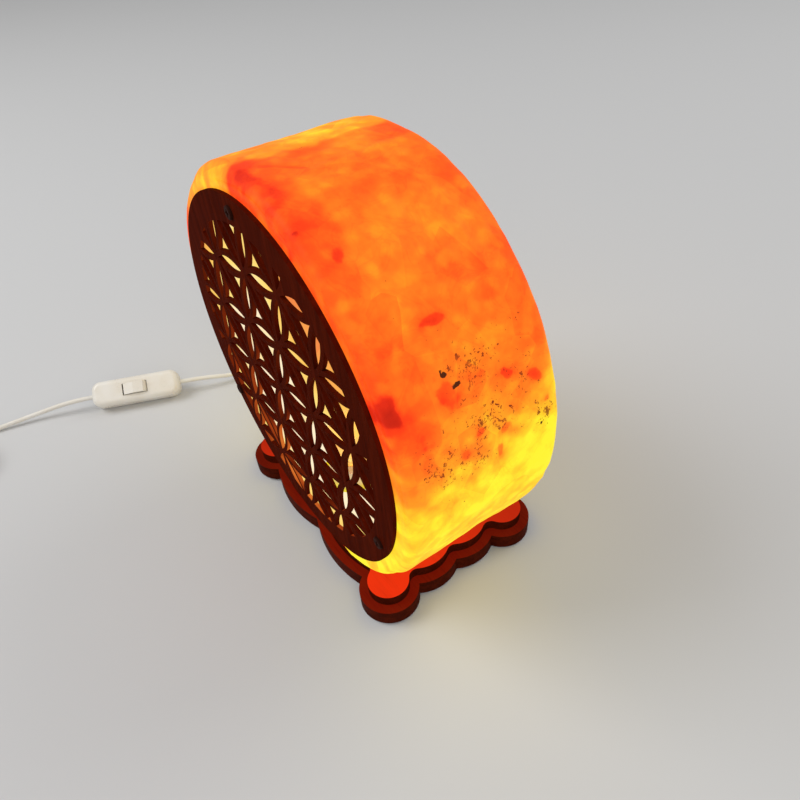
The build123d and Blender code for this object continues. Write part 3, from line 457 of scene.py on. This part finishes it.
lay_cord("cord_lamp_side", lamp_to_switch, ["cord_lamp_to_switch"],
         tuple(v * MM for v in BOOT_TIP))
lay_cord("cord_plug_side", switch_to_plug,
         ["cord_switch_to_coil", "cord_coil", "cord_coil_to_plug"],
         tuple(v * MM for v in switch_far))

# %% [markdown]
# The cord also runs through the base, from the lampholder to the boot at the back. At the plug
# a soft boot thins out toward the cord, with grooves around it. Both are turned shapes on the
# cord's own line. The boot's radius at u along it is a straight taper less the groove's depth
# times cos(2 pi u / pitch)^2, where that cosine is above 0.

# %% Cord in the base, and the plug's boot
INNER_CORD_START = -9.5
BOOT_TIP_RADIUS = 2.4
BOOT_ROOT_RADIUS = 4.11
BOOT_LENGTH = 24.0
BOOT_PLAIN_END = 2.0
GROOVE_PITCH = 3.0
GROOVE_DEPTH = 0.55

inner_ends = [INNER_CORD_START * MM, BOOT_TIP[1] * MM]
inner_profile = [(0, inner_ends[0]), (CORD_RADIUS, inner_ends[0]), (CORD_RADIUS, inner_ends[1]),
                 (0, inner_ends[1])]
inner_cord = turned_piece("cord_through_base", inner_profile, cord_plastic,
                          (0, 0, BOOT_TIP[2] * MM), (0, 1, 0), 32)
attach(inner_cord, "lamp")
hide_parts("cord_in_base")

run = np.linspace(0, BOOT_LENGTH, 97)
boot_radius = BOOT_TIP_RADIUS + (BOOT_ROOT_RADIUS - BOOT_TIP_RADIUS) * run / BOOT_LENGTH
groove = np.clip(np.cos(2 * np.pi * run / GROOVE_PITCH), 0, 1) ** 2
groove[(run < BOOT_PLAIN_END) | (run > BOOT_LENGTH - BOOT_PLAIN_END)] = 0
boot_radius -= GROOVE_DEPTH * groove
boot_profile = [(0, 0), *zip(boot_radius * MM, run * MM), (0, BOOT_LENGTH * MM)]
boot_from = (*PLUG_START * MM, PLUG_HEIGHT * MM)
plug_way = (math.cos(PLUG_HEADING), math.sin(PLUG_HEADING), 0)
boot = turned_piece("plug_grooved_boot", boot_profile, cord_plastic, boot_from, plug_way, 40)
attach(boot, "lamp")
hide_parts("plug_boot")
print("boot:", len(boot.data.vertices), "points; cord in the base:", len(inner_cord.data.vertices))

# %% [markdown]
# ## The salt
# Coordinates on the drum are the angle around its axis, 0 on the right and 90 degrees on top, and
# the depth y. The drum is a turned shape with a flat cut off below, so its outer radius is
# the smaller of the drum's own and the distance to the flat, flat / |sin(angle)|. One closed
# profile runs from the middle of the hollow's back wall, out over the front edge and round to the
# middle of the back. The real stone has broad dents, small ones and chisel marks: three sizes of
# smooth noise, added up. They only ever push the surface into the salt, so the drum stays inside
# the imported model, and they fade out at the flat underside and under the wooden disc.

# %% Salt: profile and grid
AXIS_HEIGHT = 114.5
SALT_RADIUS = 105.0
FLAT_DISTANCE = 97.0
SALT_FRONT = -47.0
SALT_BACK = 32.5
HOLLOW_RADIUS = 81.0
HOLLOW_END = 11.5
HOLLOW_EDGE = 10.0
FRONT_EDGE = 4.5
FRONT_EDGE_WORN = 7.0
WORN_ANGLE = 118.0
BACK_EDGE = 6.5
DISC_RADIUS = 94.0
BROAD_DENT, BROAD_SIZE = 2.4, 46
SMALL_DENT, SMALL_SIZE = 1.3, 17
CHISEL_MARK, CHISEL_SIZE = 0.45, 9
FINE_MARK, FINE_SIZE = 0.2, 4
UPPER_WEAR = 0.7           # the upper part is worn a little further in
HOLLOW_ROUGHNESS = 0.8
SALT_COLUMNS = 440
FIRST_RING = 0.04          # share of the radius at the ring next to a pole


def lumps(points, size, seed):
    """Smooth noise from 0 to 1: random numbers on a lattice of the given spacing, blended with
    s(u) = u^2 (3 - 2u) along each of the three axes."""
    lattice = np.random.default_rng(seed).random((16, 16, 16))
    cell = points / size + 100
    base = np.floor(cell).astype(int)
    part = cell - base
    part = part * part * (3 - 2 * part)
    total = np.zeros(points.shape[:-1])
    for corner in np.ndindex(2, 2, 2):
        weight = np.prod(np.where(corner, part, 1 - part), axis=-1)
        i, j, k = np.moveaxis((base + corner) % 16, -1, 0)
        total += weight * lattice[i, j, k]
    return total


def rise(value, low, high):
    """0 below low, 1 above high, smooth between."""
    share = np.clip((value - low) / (high - low), 0, 1)
    return share * share * (3 - 2 * share)


def worn_edge(angle):
    """Radius of the front edge: the stone is worn rounder at the upper left."""
    away = np.degrees(np.arccos(np.cos(angle - math.radians(WORN_ANGLE))))
    return FRONT_EDGE + (FRONT_EDGE_WORN - FRONT_EDGE) * (1 - rise(away, 8, 42))


def salt_profile(angle):
    """Rows of (radius, y, kind) down the closed profile, one column for each angle; kind is 0 in
    the hollow, 1 on the front face and 2 outside."""
    with np.errstate(divide="ignore"):
        flat = np.where(np.sin(angle) < 0, FLAT_DISTANCE / np.abs(np.sin(angle)), 1e9)
    outer = np.minimum(SALT_RADIUS, flat)
    one = np.ones_like(angle)
    edge = worn_edge(angle)
    rows = []

    def add(radius, y, kind):
        rows.append((radius * one, y * one, kind * one))

    for share in np.linspace(FIRST_RING, 1, 12):
        add((HOLLOW_RADIUS - HOLLOW_EDGE) * share, HOLLOW_END, 0)
    for turn in np.linspace(0, math.pi / 2, 6)[1:]:
        add(HOLLOW_RADIUS - HOLLOW_EDGE * (1 - math.sin(turn)),
            HOLLOW_END - HOLLOW_EDGE * (1 - math.cos(turn)), 0)
    for share in np.linspace(0, 1, 24)[1:]:
        add(HOLLOW_RADIUS, HOLLOW_END - HOLLOW_EDGE
            + share * (SALT_FRONT - HOLLOW_END + HOLLOW_EDGE), 0)
    for share in np.linspace(0, 1, 8)[1:]:
        add(HOLLOW_RADIUS + share * (outer - edge - HOLLOW_RADIUS), SALT_FRONT, 1)
    for turn in np.linspace(0, math.pi / 2, 10)[1:]:
        add(outer - edge * (1 - math.sin(turn)), SALT_FRONT + edge * (1 - math.cos(turn)), 2)
    for share in np.linspace(0, 1, 50)[1:]:
        start = SALT_FRONT + edge
        add(outer, start + share * (SALT_BACK - BACK_EDGE - start), 2)
    for turn in np.linspace(0, math.pi / 2, 7)[1:]:
        add(outer - BACK_EDGE * (1 - math.cos(turn)),
            SALT_BACK - BACK_EDGE * (1 - math.sin(turn)), 2)
    for share in np.linspace(1, FIRST_RING, 28)[1:]:
        add((outer - BACK_EDGE) * share, SALT_BACK, 2)
    return [np.array(column) for column in zip(*rows)]


def on_drum(radius, angle, y):
    """Points (x, y, z) = (r cos a, y, axis height + r sin a)."""
    return np.stack([radius * np.cos(angle), y, AXIS_HEIGHT + radius * np.sin(angle)], -1)


column_angle = np.linspace(0, 2 * math.pi, SALT_COLUMNS, endpoint=False)
radius, depth_y, kind = salt_profile(column_angle)
spot = on_drum(radius, column_angle, depth_y)
swell = BROAD_DENT * np.clip(lumps(spot, BROAD_SIZE, 1) - 0.45, 0, 1)
swell += SMALL_DENT * np.clip(lumps(spot, SMALL_SIZE, 2) - 0.5, 0, 1)
chisel = CHISEL_MARK * np.abs(2 * lumps(spot, CHISEL_SIZE, 3) - 1)
chisel = chisel + FINE_MARK * lumps(spot, FINE_SIZE, 4)
spot_height = spot[..., 2] - AXIS_HEIGHT
above_flat = rise(spot_height, -FLAT_DISTANCE, 9 - FLAT_DISTANCE)
beyond_disc = rise(radius, DISC_RADIUS, DISC_RADIUS + 4)
outside = kind == 2
on_back = outside & (depth_y > SALT_BACK - 1)
on_side = outside & ~on_back
push = swell + chisel + UPPER_WEAR * rise(spot_height, -25, 10)
radius = radius - np.where(on_side, push * above_flat * beyond_disc, 0)
depth_y = depth_y - np.where(on_back, push * above_flat, 0)
in_tube = (kind == 0) & (depth_y < HOLLOW_END - 1)
radius = radius + np.where(in_tube, HOLLOW_ROUGHNESS * push, 0)
print("salt grid:", radius.shape, "deepest dent", round(float(push.max()), 2), "mm")

# %% [markdown]
# The lampholder comes up through a hole in the salt's underside. Blender cuts it with a Boolean,
# and the two poles of the profile close the mesh first.


# %% Salt: mesh and hole
def closed_salt():
    """The grid's rings, and a fan of triangles to the pole at each end of the profile."""
    rings = on_drum(radius, column_angle, depth_y)
    rows, columns = radius.shape
    poles = np.array([[0, HOLLOW_END, AXIS_HEIGHT], [0, depth_y[-1].mean(), AXIS_HEIGHT]])
    points = np.concatenate([rings.reshape(-1, 3), poles]) * MM
    quads = grid_faces(rows, columns, wrap_columns=True)
    k = np.arange(columns)
    after = (k + 1) % columns
    last = (rows - 1) * columns
    caps = [np.stack([np.full(columns, rows * columns), after, k], -1),
            np.stack([np.full(columns, rows * columns + 1), last + k, last + after], -1)]
    mesh = bpy.data.meshes.new("salt_grid")
    mesh.from_pydata(points, [], quads.tolist() + caps[0].tolist() + caps[1].tolist())
    return make_piece("salt_grid", mesh)


HOLDER_Y = -17.5
HOLE_RADIUS = 18.0
HOLE_HEIGHTS = (8.0, 70.0)     # from inside the base to well inside the hollow

plain = Finish("cutter")
rough_salt = closed_salt()
low, high = (h * MM for h in HOLE_HEIGHTS)
rod = [(0, low), (HOLE_RADIUS * MM, low), (HOLE_RADIUS * MM, high), (0, high)]
holder_line = (0, HOLDER_Y * MM, 0)
cutter = turned_piece("cutter", rod, plain, holder_line, (0, 0, 1), 72)
cut = rough_salt.modifiers.new("hole", "BOOLEAN")
cut.operation = "DIFFERENCE"
cut.object = cutter
ready = rough_salt.evaluated_get(bpy.context.evaluated_depsgraph_get())
salt_mesh = bpy.data.meshes.new_from_object(ready)
salt_mesh.name = "salt_drum"
bpy.data.objects.remove(rough_salt)
bpy.data.objects.remove(cutter)
bpy.data.materials.remove(plain.material)
salt = make_piece("salt_drum", salt_mesh)
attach(salt, "lamp")
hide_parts("salt_body")
print("salt drum:", len(salt_mesh.vertices), "points,", len(salt_mesh.polygons), "faces")

# %% [markdown]
# Four numbers at each point say what the stone is like there. Warmth is how bright and yellow it
# glows: most near the bulb, low down, and in a band along the thin top edge, which starts at a
# clear line. Inside the hollow it is nearly white close to the bulb and the open front, and falls
# to amber toward the back and the top. Iron is how red the stone is, grit how many dark specks it
# has, and chip marks the few black inclusions. Their patches are given by an angle in degrees,
# y, two half widths, along the rim and along y, and a strength; each adds strength * exp(-d^2),
# with d the distance in half widths, on a place warped by noise.

# %% Salt: where it glows and where it is stained
GENERAL_WARMTH = 0.55
LOW_GLOW = 0.36
BAND_START = 93.5              # degrees, just left of the top
BAND_FADES = (128, 150)
BAND_GLOW = 0.21
IRON = [(91, -43, 9, 6, 0.55), (84, -38, 15, 9, 0.4), (76, -42, 12, 7, 0.3),
        (65, -45, 3, 3, 0.6), (58.2, -32.7, 4, 5, 0.75), (64, -34, 9, 8, 0.15),
        (40.9, -14.7, 3, 4.5, 0.8), (43, -20, 7, 9, 0.25), (27, -46, 7, 6, 0.6),
        (24.5, -43, 5, 4, 0.5), (33, -45, 9, 6, 0.35), (23.3, 7.5, 4.5, 4.5, 1.0),
        (19.8, 18.6, 3.0, 3.5, 1.05), (13.1, 22.3, 4.0, 3, 0.75), (25.7, -21.9, 5, 5, 0.7),
        (22.2, -17.2, 4.5, 6, 0.6), (12.2, -11.6, 2.2, 3, 0.9), (10, -19, 4, 5, 0.4),
        (17, -30, 5, 6, 0.2), (9, 4, 4, 3, 0.75), (5, 0.4, 3, 2, 0.9),
        (11.3, -23.5, 5, 6, 0.4), (19.2, -34.8, 6, 5, 0.45), (16, 6, 8, 6, 0.3),
        (135, -10, 14, 10, 0.7), (160, 10, 10, 12, 0.8), (195, -20, 8, 6, 0.7),
        (120, 15, 9, 9, 0.5), (150, -35, 8, 7, 0.6)]
GRIT = [(28, -8, 20, 18, 0.9), (11, -8, 13, 18, 1.0), (9, 21, 8, 7, 1.3),
        (12, -32, 12, 9, 0.75), (56, -30, 18, 14, 0.3), (5, -26, 10, 10, 0.6),
        (24, 15, 16, 9, 0.7), (93, 0, 5, 30, 0.45), (165, 0, 30, 25, 0.6),
        (140, -20, 16, 14, 0.4)]
CHIP = [(29.2, -19.2, 1.8, 2.3, 1.0), (26.2, -15.9, 1.2, 2.6, 1.0), (31.5, -25.0, 0.9, 0.9, 0.9),
        (30.2, 5.1, 0.7, 0.8, 0.9), (6.5, 20.0, 1.6, 1.2, 0.8), (3.5, 1.0, 2.2, 1.0, 0.7)]


def patches(angle, y, places):
    """Sum over the patches of strength * exp(-(turn / along)^2 - ((y - y0) / across)^2), where
    turn is the way along the rim from the patch's middle."""
    total = np.zeros_like(y)
    for middle, y0, along, across, strength in places:
        turn = np.angle(np.exp(1j * (angle - math.radians(middle)))) * SALT_RADIUS
        total += strength * np.exp(-(turn / along) ** 2 - ((y - y0) / across) ** 2)
    return total


spots = np.zeros(len(salt_mesh.vertices) * 3)
salt_mesh.vertices.foreach_get("co", spots)
spots = spots.reshape(-1, 3) / MM
x, y, z = spots.T
angle = np.arctan2(z - AXIS_HEIGHT, x)
from_axis = np.hypot(x, z - AXIS_HEIGHT)
drift = 7 * (np.stack([lumps(spots, 11, 5), lumps(spots, 11, 6)]) - 0.5)
drift += 3 * (np.stack([lumps(spots, 4.5, 7), lumps(spots, 4.5, 8)]) - 0.5)
warped_angle = angle + drift[0] / SALT_RADIUS
warped_y = y + drift[1]
iron = patches(warped_angle, warped_y, IRON)
grit = patches(warped_angle, warped_y, GRIT)
chip = patches(angle + 0.3 * drift[0] / SALT_RADIUS, y + 0.3 * drift[1], CHIP)

# Outside: a general warmth, the glow low down near the bulb, a duller zone behind the disc.
height = z - AXIS_HEIGHT + 1.6 * drift[0]
behind_disc = 1 - rise(warped_y, -47, -24)
warmth = GENERAL_WARMTH + 0.05 * (1 - rise(height, 30, 80))
warmth += LOW_GLOW * (1 - rise(height - 0.35 * (y + 10), -12, 46))
warmth -= 0.12 * behind_disc * rise(height, -5, 35)

# The band along the top, whose edge bulges at y = -37, and the dull upper back.
degrees = np.degrees(warped_angle)
band_start = BAND_START + 5 * np.exp(-((y + 37) / 7) ** 2)
band = rise(degrees - band_start, -1.0, 1.5) * (1 - rise(degrees, *BAND_FADES))
band *= rise(from_axis, 86, 98)
warmth += BAND_GLOW * band + 0.10 * band * (1 - rise(y, -45, -40))
warmth -= 0.08 * rise(y, 8, 26) * rise(height, 45, 80)
warmth += 0.16 * (lumps(spots, 24, 9) - 0.5) + 0.12 * (lumps(spots, 8, 10) - 0.5)

# Inside: less with the depth, with the height, and on the rim right behind the disc.
hollow = (from_axis < HOLLOW_RADIUS + 2.5) & (y < HOLLOW_END + 0.5)
deeper = rise(y, -24, 2)
inner_warmth = 1 - deeper * (0.35 + 0.27 * rise(z, 30, 75)) - 0.18 * rise(z, 95, 150)
inner_warmth -= 0.25 * (1 - rise(y, -48, -36)) + 0.10 * (lumps(spots, 15, 11) - 0.5)
warmth = np.where(hollow, inner_warmth, warmth)
for name, value in (("warmth", warmth), ("iron", iron), ("grit", grit), ("chip", chip)):
    stored = salt_mesh.attributes.new(name, "FLOAT", "POINT")
    stored.data.foreach_set("value", np.clip(value, 0, 1.5).astype(np.float32))
print("warmth", warmth.min().round(2), warmth.max().round(2), "| iron", iron.max().round(2))

# %% [markdown]
# The outside glows with a colour that runs from deep red over orange to yellow as the tone, which
# starts from the warmth, rises. Crystal cells, clouds and fine grain vary it, iron lowers it, and
# flecks and chips darken it. The glow is the Emission Color at a strength of 1, so a colour shows
# as written, and the base colour and gloss under it stay low. The hollow has a paler ramp.

# %% Salt finishes
GLOW = [(0.0, (0.52, 0.009, 0.001)), (0.16, (0.75, 0.018, 0.002)), (0.30, (0.97, 0.048, 0.004)),
        (0.44, (0.98, 0.110, 0.006)), (0.58, (0.98, 0.195, 0.009)), (0.72, (0.98, 0.325, 0.012)),
        (0.85, (0.98, 0.555, 0.017)), (1.0, (0.99, 0.850, 0.026))]
FLECK_BROWN = (0.15, 0.011, 0.002)
CHIP_BLACK = (0.012, 0.003, 0.001)


def flecks(finish, place, scale, amount):
    """Ragged grains: where a fine warped noise rises over a level that falls as amount rises."""
    speckle = finish.noise(place, scale, 3, 0.62, 0.5)
    return (speckle - 0.745 + 0.215 * amount).step(0.0, 0.03)


rock = Finish("rock_salt", IOR=1.18, Emission_Strength=1.0, Specular_IOR_Level=0.3)
place = rock.place()
bent = rock.noise(place, 90, 3, 0.6)
crystal = rock.cells(place, 190, "SMOOTH_F1", out="Color")
large_crystal = rock.cells(place, 62, "F1", out="Color")
cloud = rock.noise(place, 42, 4, 0.6)
grain = rock.noise(place, 420, 3)
vein = (rock.noise(place, 55, 3, 0.6, 1.2) - 0.5).size().step(0.0, 0.028)
tone = (rock.stored("warmth") + 0.20 * (cloud - 0.5) + 0.22 * (crystal - 0.5)
        + 0.10 * (large_crystal - 0.5) + 0.08 * (grain - 0.5) - 0.025 * (1 - vein))
stain = rock.stored("iron") * (0.45 + 1.1 * bent)
tone = tone - 0.19 * stain.clipped() - 0.15 * stain.step(0.46, 0.66)
cluster = (rock.stored("grit") * (rock.noise(place, 125, 2) * 2.0 - 0.3)).clipped()
tone = tone - 0.10 * cluster
glow = rock.ramp(tone.clipped(), GLOW)
dark = flecks(rock, place, 400, cluster).larger(0.8 * flecks(rock, place, 760, cluster))
dark = dark * (0.3 + 1.1 * rock.noise(place, 170, 2)).clipped()
black = (rock.stored("chip") + 1.3 * (rock.noise(place, 480, 3) - 0.5)).step(0.44, 0.58)
glow = rock.mix(0.92 * dark.clipped(), glow, FLECK_BROWN)
glow = rock.mix(0.96 * black, glow, CHIP_BLACK)
rock.drive(Emission_Color=glow, Base_Color=rock.mix(0.92, glow, (0.05, 0.012, 0.006)),
           Roughness=0.34 + 0.25 * grain + 0.1 * bent)
rock.relief(0.5 * crystal + 0.25 * bent + 0.15 * grain - 0.3 * black, 0.0005)

INNER = [(0.0, (0.50, 0.100, 0.035)), (0.20, (0.68, 0.150, 0.050)), (0.40, (0.84, 0.250, 0.065)),
         (0.62, (0.92, 0.540, 0.105)), (0.85, (0.98, 0.740, 0.210)), (1.0, (1.0, 0.86, 0.60))]
lit_hollow = Finish("rock_salt_hollow", Emission_Strength=1.0, Specular_IOR_Level=0.05)
place = lit_hollow.place()
facet = lit_hollow.cells(place, 95, out="Color")
mist = lit_hollow.noise(place, 60, 3)
inner = lit_hollow.stored("warmth") + 0.10 * (facet - 0.5) + 0.16 * (mist - 0.5)
lit = lit_hollow.ramp(inner.clipped(), INNER)
lit_hollow.drive(Emission_Color=lit, Base_Color=lit_hollow.mix(0.92, lit, (0.06, 0.02, 0.01)),
                 Roughness=0.5 + 0.3 * mist)
lit_hollow.relief(0.6 * facet + 0.4 * mist, 0.0006)

salt_mesh.materials.clear()
salt_mesh.materials.append(rock.material)
salt_mesh.materials.append(lit_hollow.material)
middle = np.zeros(len(salt_mesh.polygons) * 3)
salt_mesh.polygons.foreach_get("center", middle)
middle = middle.reshape(-1, 3) / MM
reach = np.hypot(middle[:, 0], middle[:, 2] - AXIS_HEIGHT)
inside = (reach < HOLLOW_RADIUS + 2.2) & (middle[:, 1] < HOLLOW_END + 0.5)
salt_mesh.polygons.foreach_set("material_index", inside.astype(np.int32))
salt_mesh.polygons.foreach_set("use_smooth", np.ones(len(inside), bool))
salt_mesh.update()
print("hollow faces:", int(inside.sum()), "of", len(inside))

# %% [markdown]
# ## Wood
# Disc and plates are dark stained and nearly matt. The glow of the salt on the plates' upper
# faces and the bulb's light on the walls of the disc's holes are painted light, set as the wood's
# own glow: with N the normal and D the way to the bulb, a wall gets max(0, N . D) / distance^2,
# and an upper face gets its share where N points up, less toward the left and under the salt's
# back.


# %% Wood finishes
def dot(finish, a, b):
    """The dot product of two directions."""
    return finish.node("VectorMath", {"operation": "DOT_PRODUCT"}, {0: a, 1: b}, out="Value")


def lit_from(finish, point, reach):
    """How strongly a surface is lit from a point: max(0, N . D) * (reach / distance)^2, so it is
    1 where it faces the point at the reach."""
    away = finish.node("VectorMath", {"operation": "SUBTRACT"}, {0: point, 1: finish.place()})
    way = finish.node("VectorMath", {"operation": "NORMALIZE"}, {0: away})
    far = finish.node("VectorMath", {"operation": "LENGTH"}, {0: away}, out="Value")
    facing = dot(finish, finish.node("TexCoord", out="Normal"), way).clipped()
    return facing * (reach / far.larger(0.02)) ** 2


def wood_grain(finish, stretch):
    """Fibres and broad figure, 0 to 1, for a board whose grain runs along the small scale."""
    fibre = finish.noise(finish.stretched(stretch), 1.0, 5, 0.65, 0.3)
    pores = finish.noise(finish.stretched(tuple(4 * v for v in stretch)), 1.0, 2)
    return fibre, pores


BULB_GLOW_PLACE = (-0.004, -0.0175, 0.052)

disc_wood = Finish("disc_wood", IOR=1.45, Emission_Strength=1.0, Specular_IOR_Level=0.004)
fibre, pores = wood_grain(disc_wood, (260.0, 260.0, 22.0))
tint = disc_wood.mix(fibre.step(0.3, 0.75), (0.050, 0.0042, 0.0009), (0.088, 0.0080, 0.0016))
tint = disc_wood.mix(0.5 * pores.step(0.55, 0.7), tint, (0.018, 0.003, 0.001))
# Painted light from the bulb: the walls of the holes glow orange where they face it, fading with
# distance.
wall = lit_from(disc_wood, BULB_GLOW_PLACE, 0.060)
layers = disc_wood.noise(disc_wood.stretched((60.0, 1500.0, 60.0)), 1.0, 2)
warm = disc_wood.ramp((wall * (0.35 + 0.9 * layers) * 0.55).clipped(),
                      [(0.0, (0.0, 0.0, 0.0)), (0.25, (0.20, 0.025, 0.004)),
                       (0.6, (0.55, 0.12, 0.018)), (1.0, (0.90, 0.36, 0.06))])
disc_wood.drive(Base_Color=tint, Emission_Color=warm, Roughness=0.55 + 0.2 * pores)
disc_wood.relief(0.7 * fibre + 0.3 * pores, 0.00008)
dress(disc_wood, "front_grille")


def plate_wood(name, bright, dim, level):
    """Stained board, with the salt's light painted on as glow: strong on its upper face, faint on
    its sides.
    """
    finish = Finish(name, IOR=1.45, Emission_Strength=1.0, Specular_IOR_Level=0.01)
    fibre, pores = wood_grain(finish, (24.0, 230.0, 300.0))
    tint = finish.mix(fibre.step(0.3, 0.75), (0.045, 0.0045, 0.0012), (0.085, 0.0085, 0.0020))
    tint = finish.mix(0.6 * pores.step(0.52, 0.7), tint, (0.016, 0.003, 0.0015))
    x, y, z = finish.split(finish.place())
    # Painted light: the upper face glows brighter toward the right and front, less toward the left
    # and under the salt's back.
    up = dot(finish, finish.node("TexCoord", out="Normal"), (0, 0, 1)).step(0.6, 0.95)
    high = z.step(level - 0.0015, level - 0.0005)
    lit_part = (x + 0.3 * y.size()).step(-0.075, 0.02) * (1 - 0.75 * y.step(-0.03, 0.048))
    glow = finish.mix(lit_part, dim, bright)
    glow = finish.mix(0.35 * fibre.step(0.4, 0.7), glow, tuple(0.55 * c for c in bright))
    # Painted light on the sides: a faint glow where they face a point inside the salt.
    side = lit_from(finish, (0.0, -0.005, 0.075), 0.09) * 0.05
    glow = finish.mix((up * high).larger(side), (0.0, 0.0, 0.0), glow)
    finish.drive(Base_Color=tint, Emission_Color=glow, Roughness=0.42 + 0.2 * pores)
    finish.relief(0.7 * fibre + 0.3 * pores, 0.0001)
    return finish


# The upper plate gets a strong painted glow from the salt, the lower plate a dim one.
dress(plate_wood("upper_plate_wood", (0.80, 0.028, 0.004), (0.34, 0.012, 0.003), 0.0175),
      "base_upper_plate")
dress(plate_wood("lower_plate_wood", (0.115, 0.0030, 0.0006), (0.075, 0.0025, 0.0006), 0.011),
      "base_lower_plate")

# %% [markdown]
# ## Metals
# The bright metals differ in colour and in how rough they are. All have fine scratches, which are
# noise stretched a long way, and a cloudy tarnish. The disc's screws are blackened, so hardly
# anything of the metal shows.


# %% Metals
SCRATCHES = (900.0, 900.0, 60.0)
TARNISH = 0.25


def metal(name, colour, rough):
    """A scratched metal: base colour fading to 0.55 of itself where the tarnish cloud is."""
    finish = Finish(name, Metallic=1.0)
    scratches = finish.noise(finish.stretched(SCRATCHES), 1.0, 4, 0.7)
    cloud = finish.noise(finish.place(), 140, 3)
    dull = tuple(0.55 * c for c in colour)
    finish.drive(Base_Color=finish.mix(TARNISH * cloud.step(0.45, 0.75), colour, dull),
                 Roughness=rough + 0.18 * scratches + 0.1 * cloud)
    finish.relief(scratches, 0.00002)
    return finish


zinc = metal("zinc_steel", (0.60, 0.60, 0.58), 0.28)
blackened = metal("black_steel", (0.028, 0.006, 0.003), 0.5)
blackened.set(Metallic=0.05, Specular_IOR_Level=0.04)
brass = metal("brass", (0.72, 0.50, 0.20), 0.22)
cap_metal = metal("cap_metal", (0.76, 0.75, 0.72), 0.20)
dress(zinc, "base_screws", "holder_spring_clip", "clip_screws", "switch_rocker_pin",
      "switch_screws", "bulb_lead_wires")
dress(blackened, "grille_screws")
dress(brass, "holder_screw_shell", "holder_centre_contact", "switch_contacts")
dress(cap_metal, "bulb_cap", "bulb_contact_tip", "plug_pins")

# %% [markdown]
# ## Glass, ceramic, felt and small plastics
# The bulb's glass is clear, with a faint smear and an amber glow from the filament inside it. The
# lampholder's core is unglazed ceramic, the ring in the bulb's cap black glass, and the pads under
# the base pressed felt, whose fuzz is a very fine noise.

# %% Glass, ceramic, felt and small plastics
glass = Finish("bulb_glass", IOR=1.5, Transmission_Weight=0.9, Emission_Strength=0.16)
smear = glass.noise(glass.place(), 120, 3)
halo = glass.ramp(smear, [(0.2, (0.95, 0.62, 0.20)), (0.8, (1.0, 0.78, 0.36))])
glass.drive(Base_Color=glass.mix(smear, (1.0, 0.80, 0.40), (1.0, 0.88, 0.55)),
            Emission_Color=halo, Roughness=0.02 + 0.08 * smear)
dress(glass, "bulb_glass", "bulb_stem")

filament = Finish("hot_filament", Emission_Strength=6.0)
coil_noise = filament.noise(filament.place(), 2500, 2)
filament.drive(Emission_Color=filament.mix(coil_noise, (1.0, 0.62, 0.22), (1.0, 0.80, 0.45)))
dress(filament, "bulb_filament")

ceramic = plastic("holder_ceramic", (0.78, 0.74, 0.64), 0.6, 0.00004)
dark_glass = plastic("cap_insulator_glass", (0.012, 0.012, 0.014), 0.08)
dress(ceramic, "holder_core")
dress(dark_glass, "bulb_cap_insulator")

felt = Finish("felt", Specular_IOR_Level=0.1)
fuzz = felt.noise(felt.place(), 1600, 4, 0.7)
felt.drive(Base_Color=felt.mix(fuzz, (0.012, 0.009, 0.008), (0.045, 0.034, 0.028)),
           Roughness=0.85 + 0.1 * fuzz)
felt.relief(fuzz, 0.0002)
dress(felt, "felt_pads")

dress(switch_plastic, "switch_lower_shell", "switch_upper_shell", "switch_rocker")
dress(sleeve_plastic, "holder_sleeve", "holder_lower_cap")
dress(gland_plastic, "cord_gland")
dress(cord_plastic, "plug_body")
dress(nylon_grey, "base_wall_plugs", "grille_wall_plugs")
dress(black_plastic, "plug_pin_sleeves")

# %% [markdown]
# ## Floor and light
# The lamp stands on a plain pale floor in soft light: three large area lights and an even, pale
# world. The picture's colours are shown as they are computed, without a film-like curve.

# %% Floor, light and backdrop
floor_mesh = bpy.data.meshes.new("floor")
floor_mesh.from_pydata([(-6, -6, 0), (6, -6, 0), (6, 6, 0), (-6, 6, 0)], [], [(0, 1, 2, 3)])
floor = make_piece("floor", floor_mesh)
floor_finish = Finish("pale_floor", Roughness=0.9, Base_Color=(0.6, 0.6, 0.6, 1))
floor_mesh.materials.append(floor_finish.material)


def softbox(name, place, target, size, power):
    """A square area light of size metres and power watts, turned to face its target."""
    data = bpy.data.lights.new(name, "AREA")
    data.size = size
    data.energy = power
    lamp = bpy.data.objects.new(name, data)
    way = (Vector(target) - Vector(place)).to_track_quat("-Z", "Y")
    lamp.matrix_world = Matrix.Translation(place) @ way.to_matrix().to_4x4()
    bpy.context.scene.collection.objects.link(lamp)


LAMP_MIDDLE = (0, 0, 0.1)
softbox("key", (-0.9, -1.2, 1.6), LAMP_MIDDLE, 1.2, 22)
softbox("fill", (1.4, -0.6, 1.1), LAMP_MIDDLE, 1.4, 9)
softbox("back", (0.2, 1.5, 1.3), LAMP_MIDDLE, 1.2, 8)

world = bpy.data.worlds.new("studio")
world.use_nodes = True
backdrop = world.node_tree.nodes["Background"]
backdrop.inputs["Color"].default_value = (0.9, 0.9, 0.9, 1)
backdrop.inputs["Strength"].default_value = 0.45
bpy.context.scene.world = world
bpy.context.scene.view_settings.view_transform = "Standard"
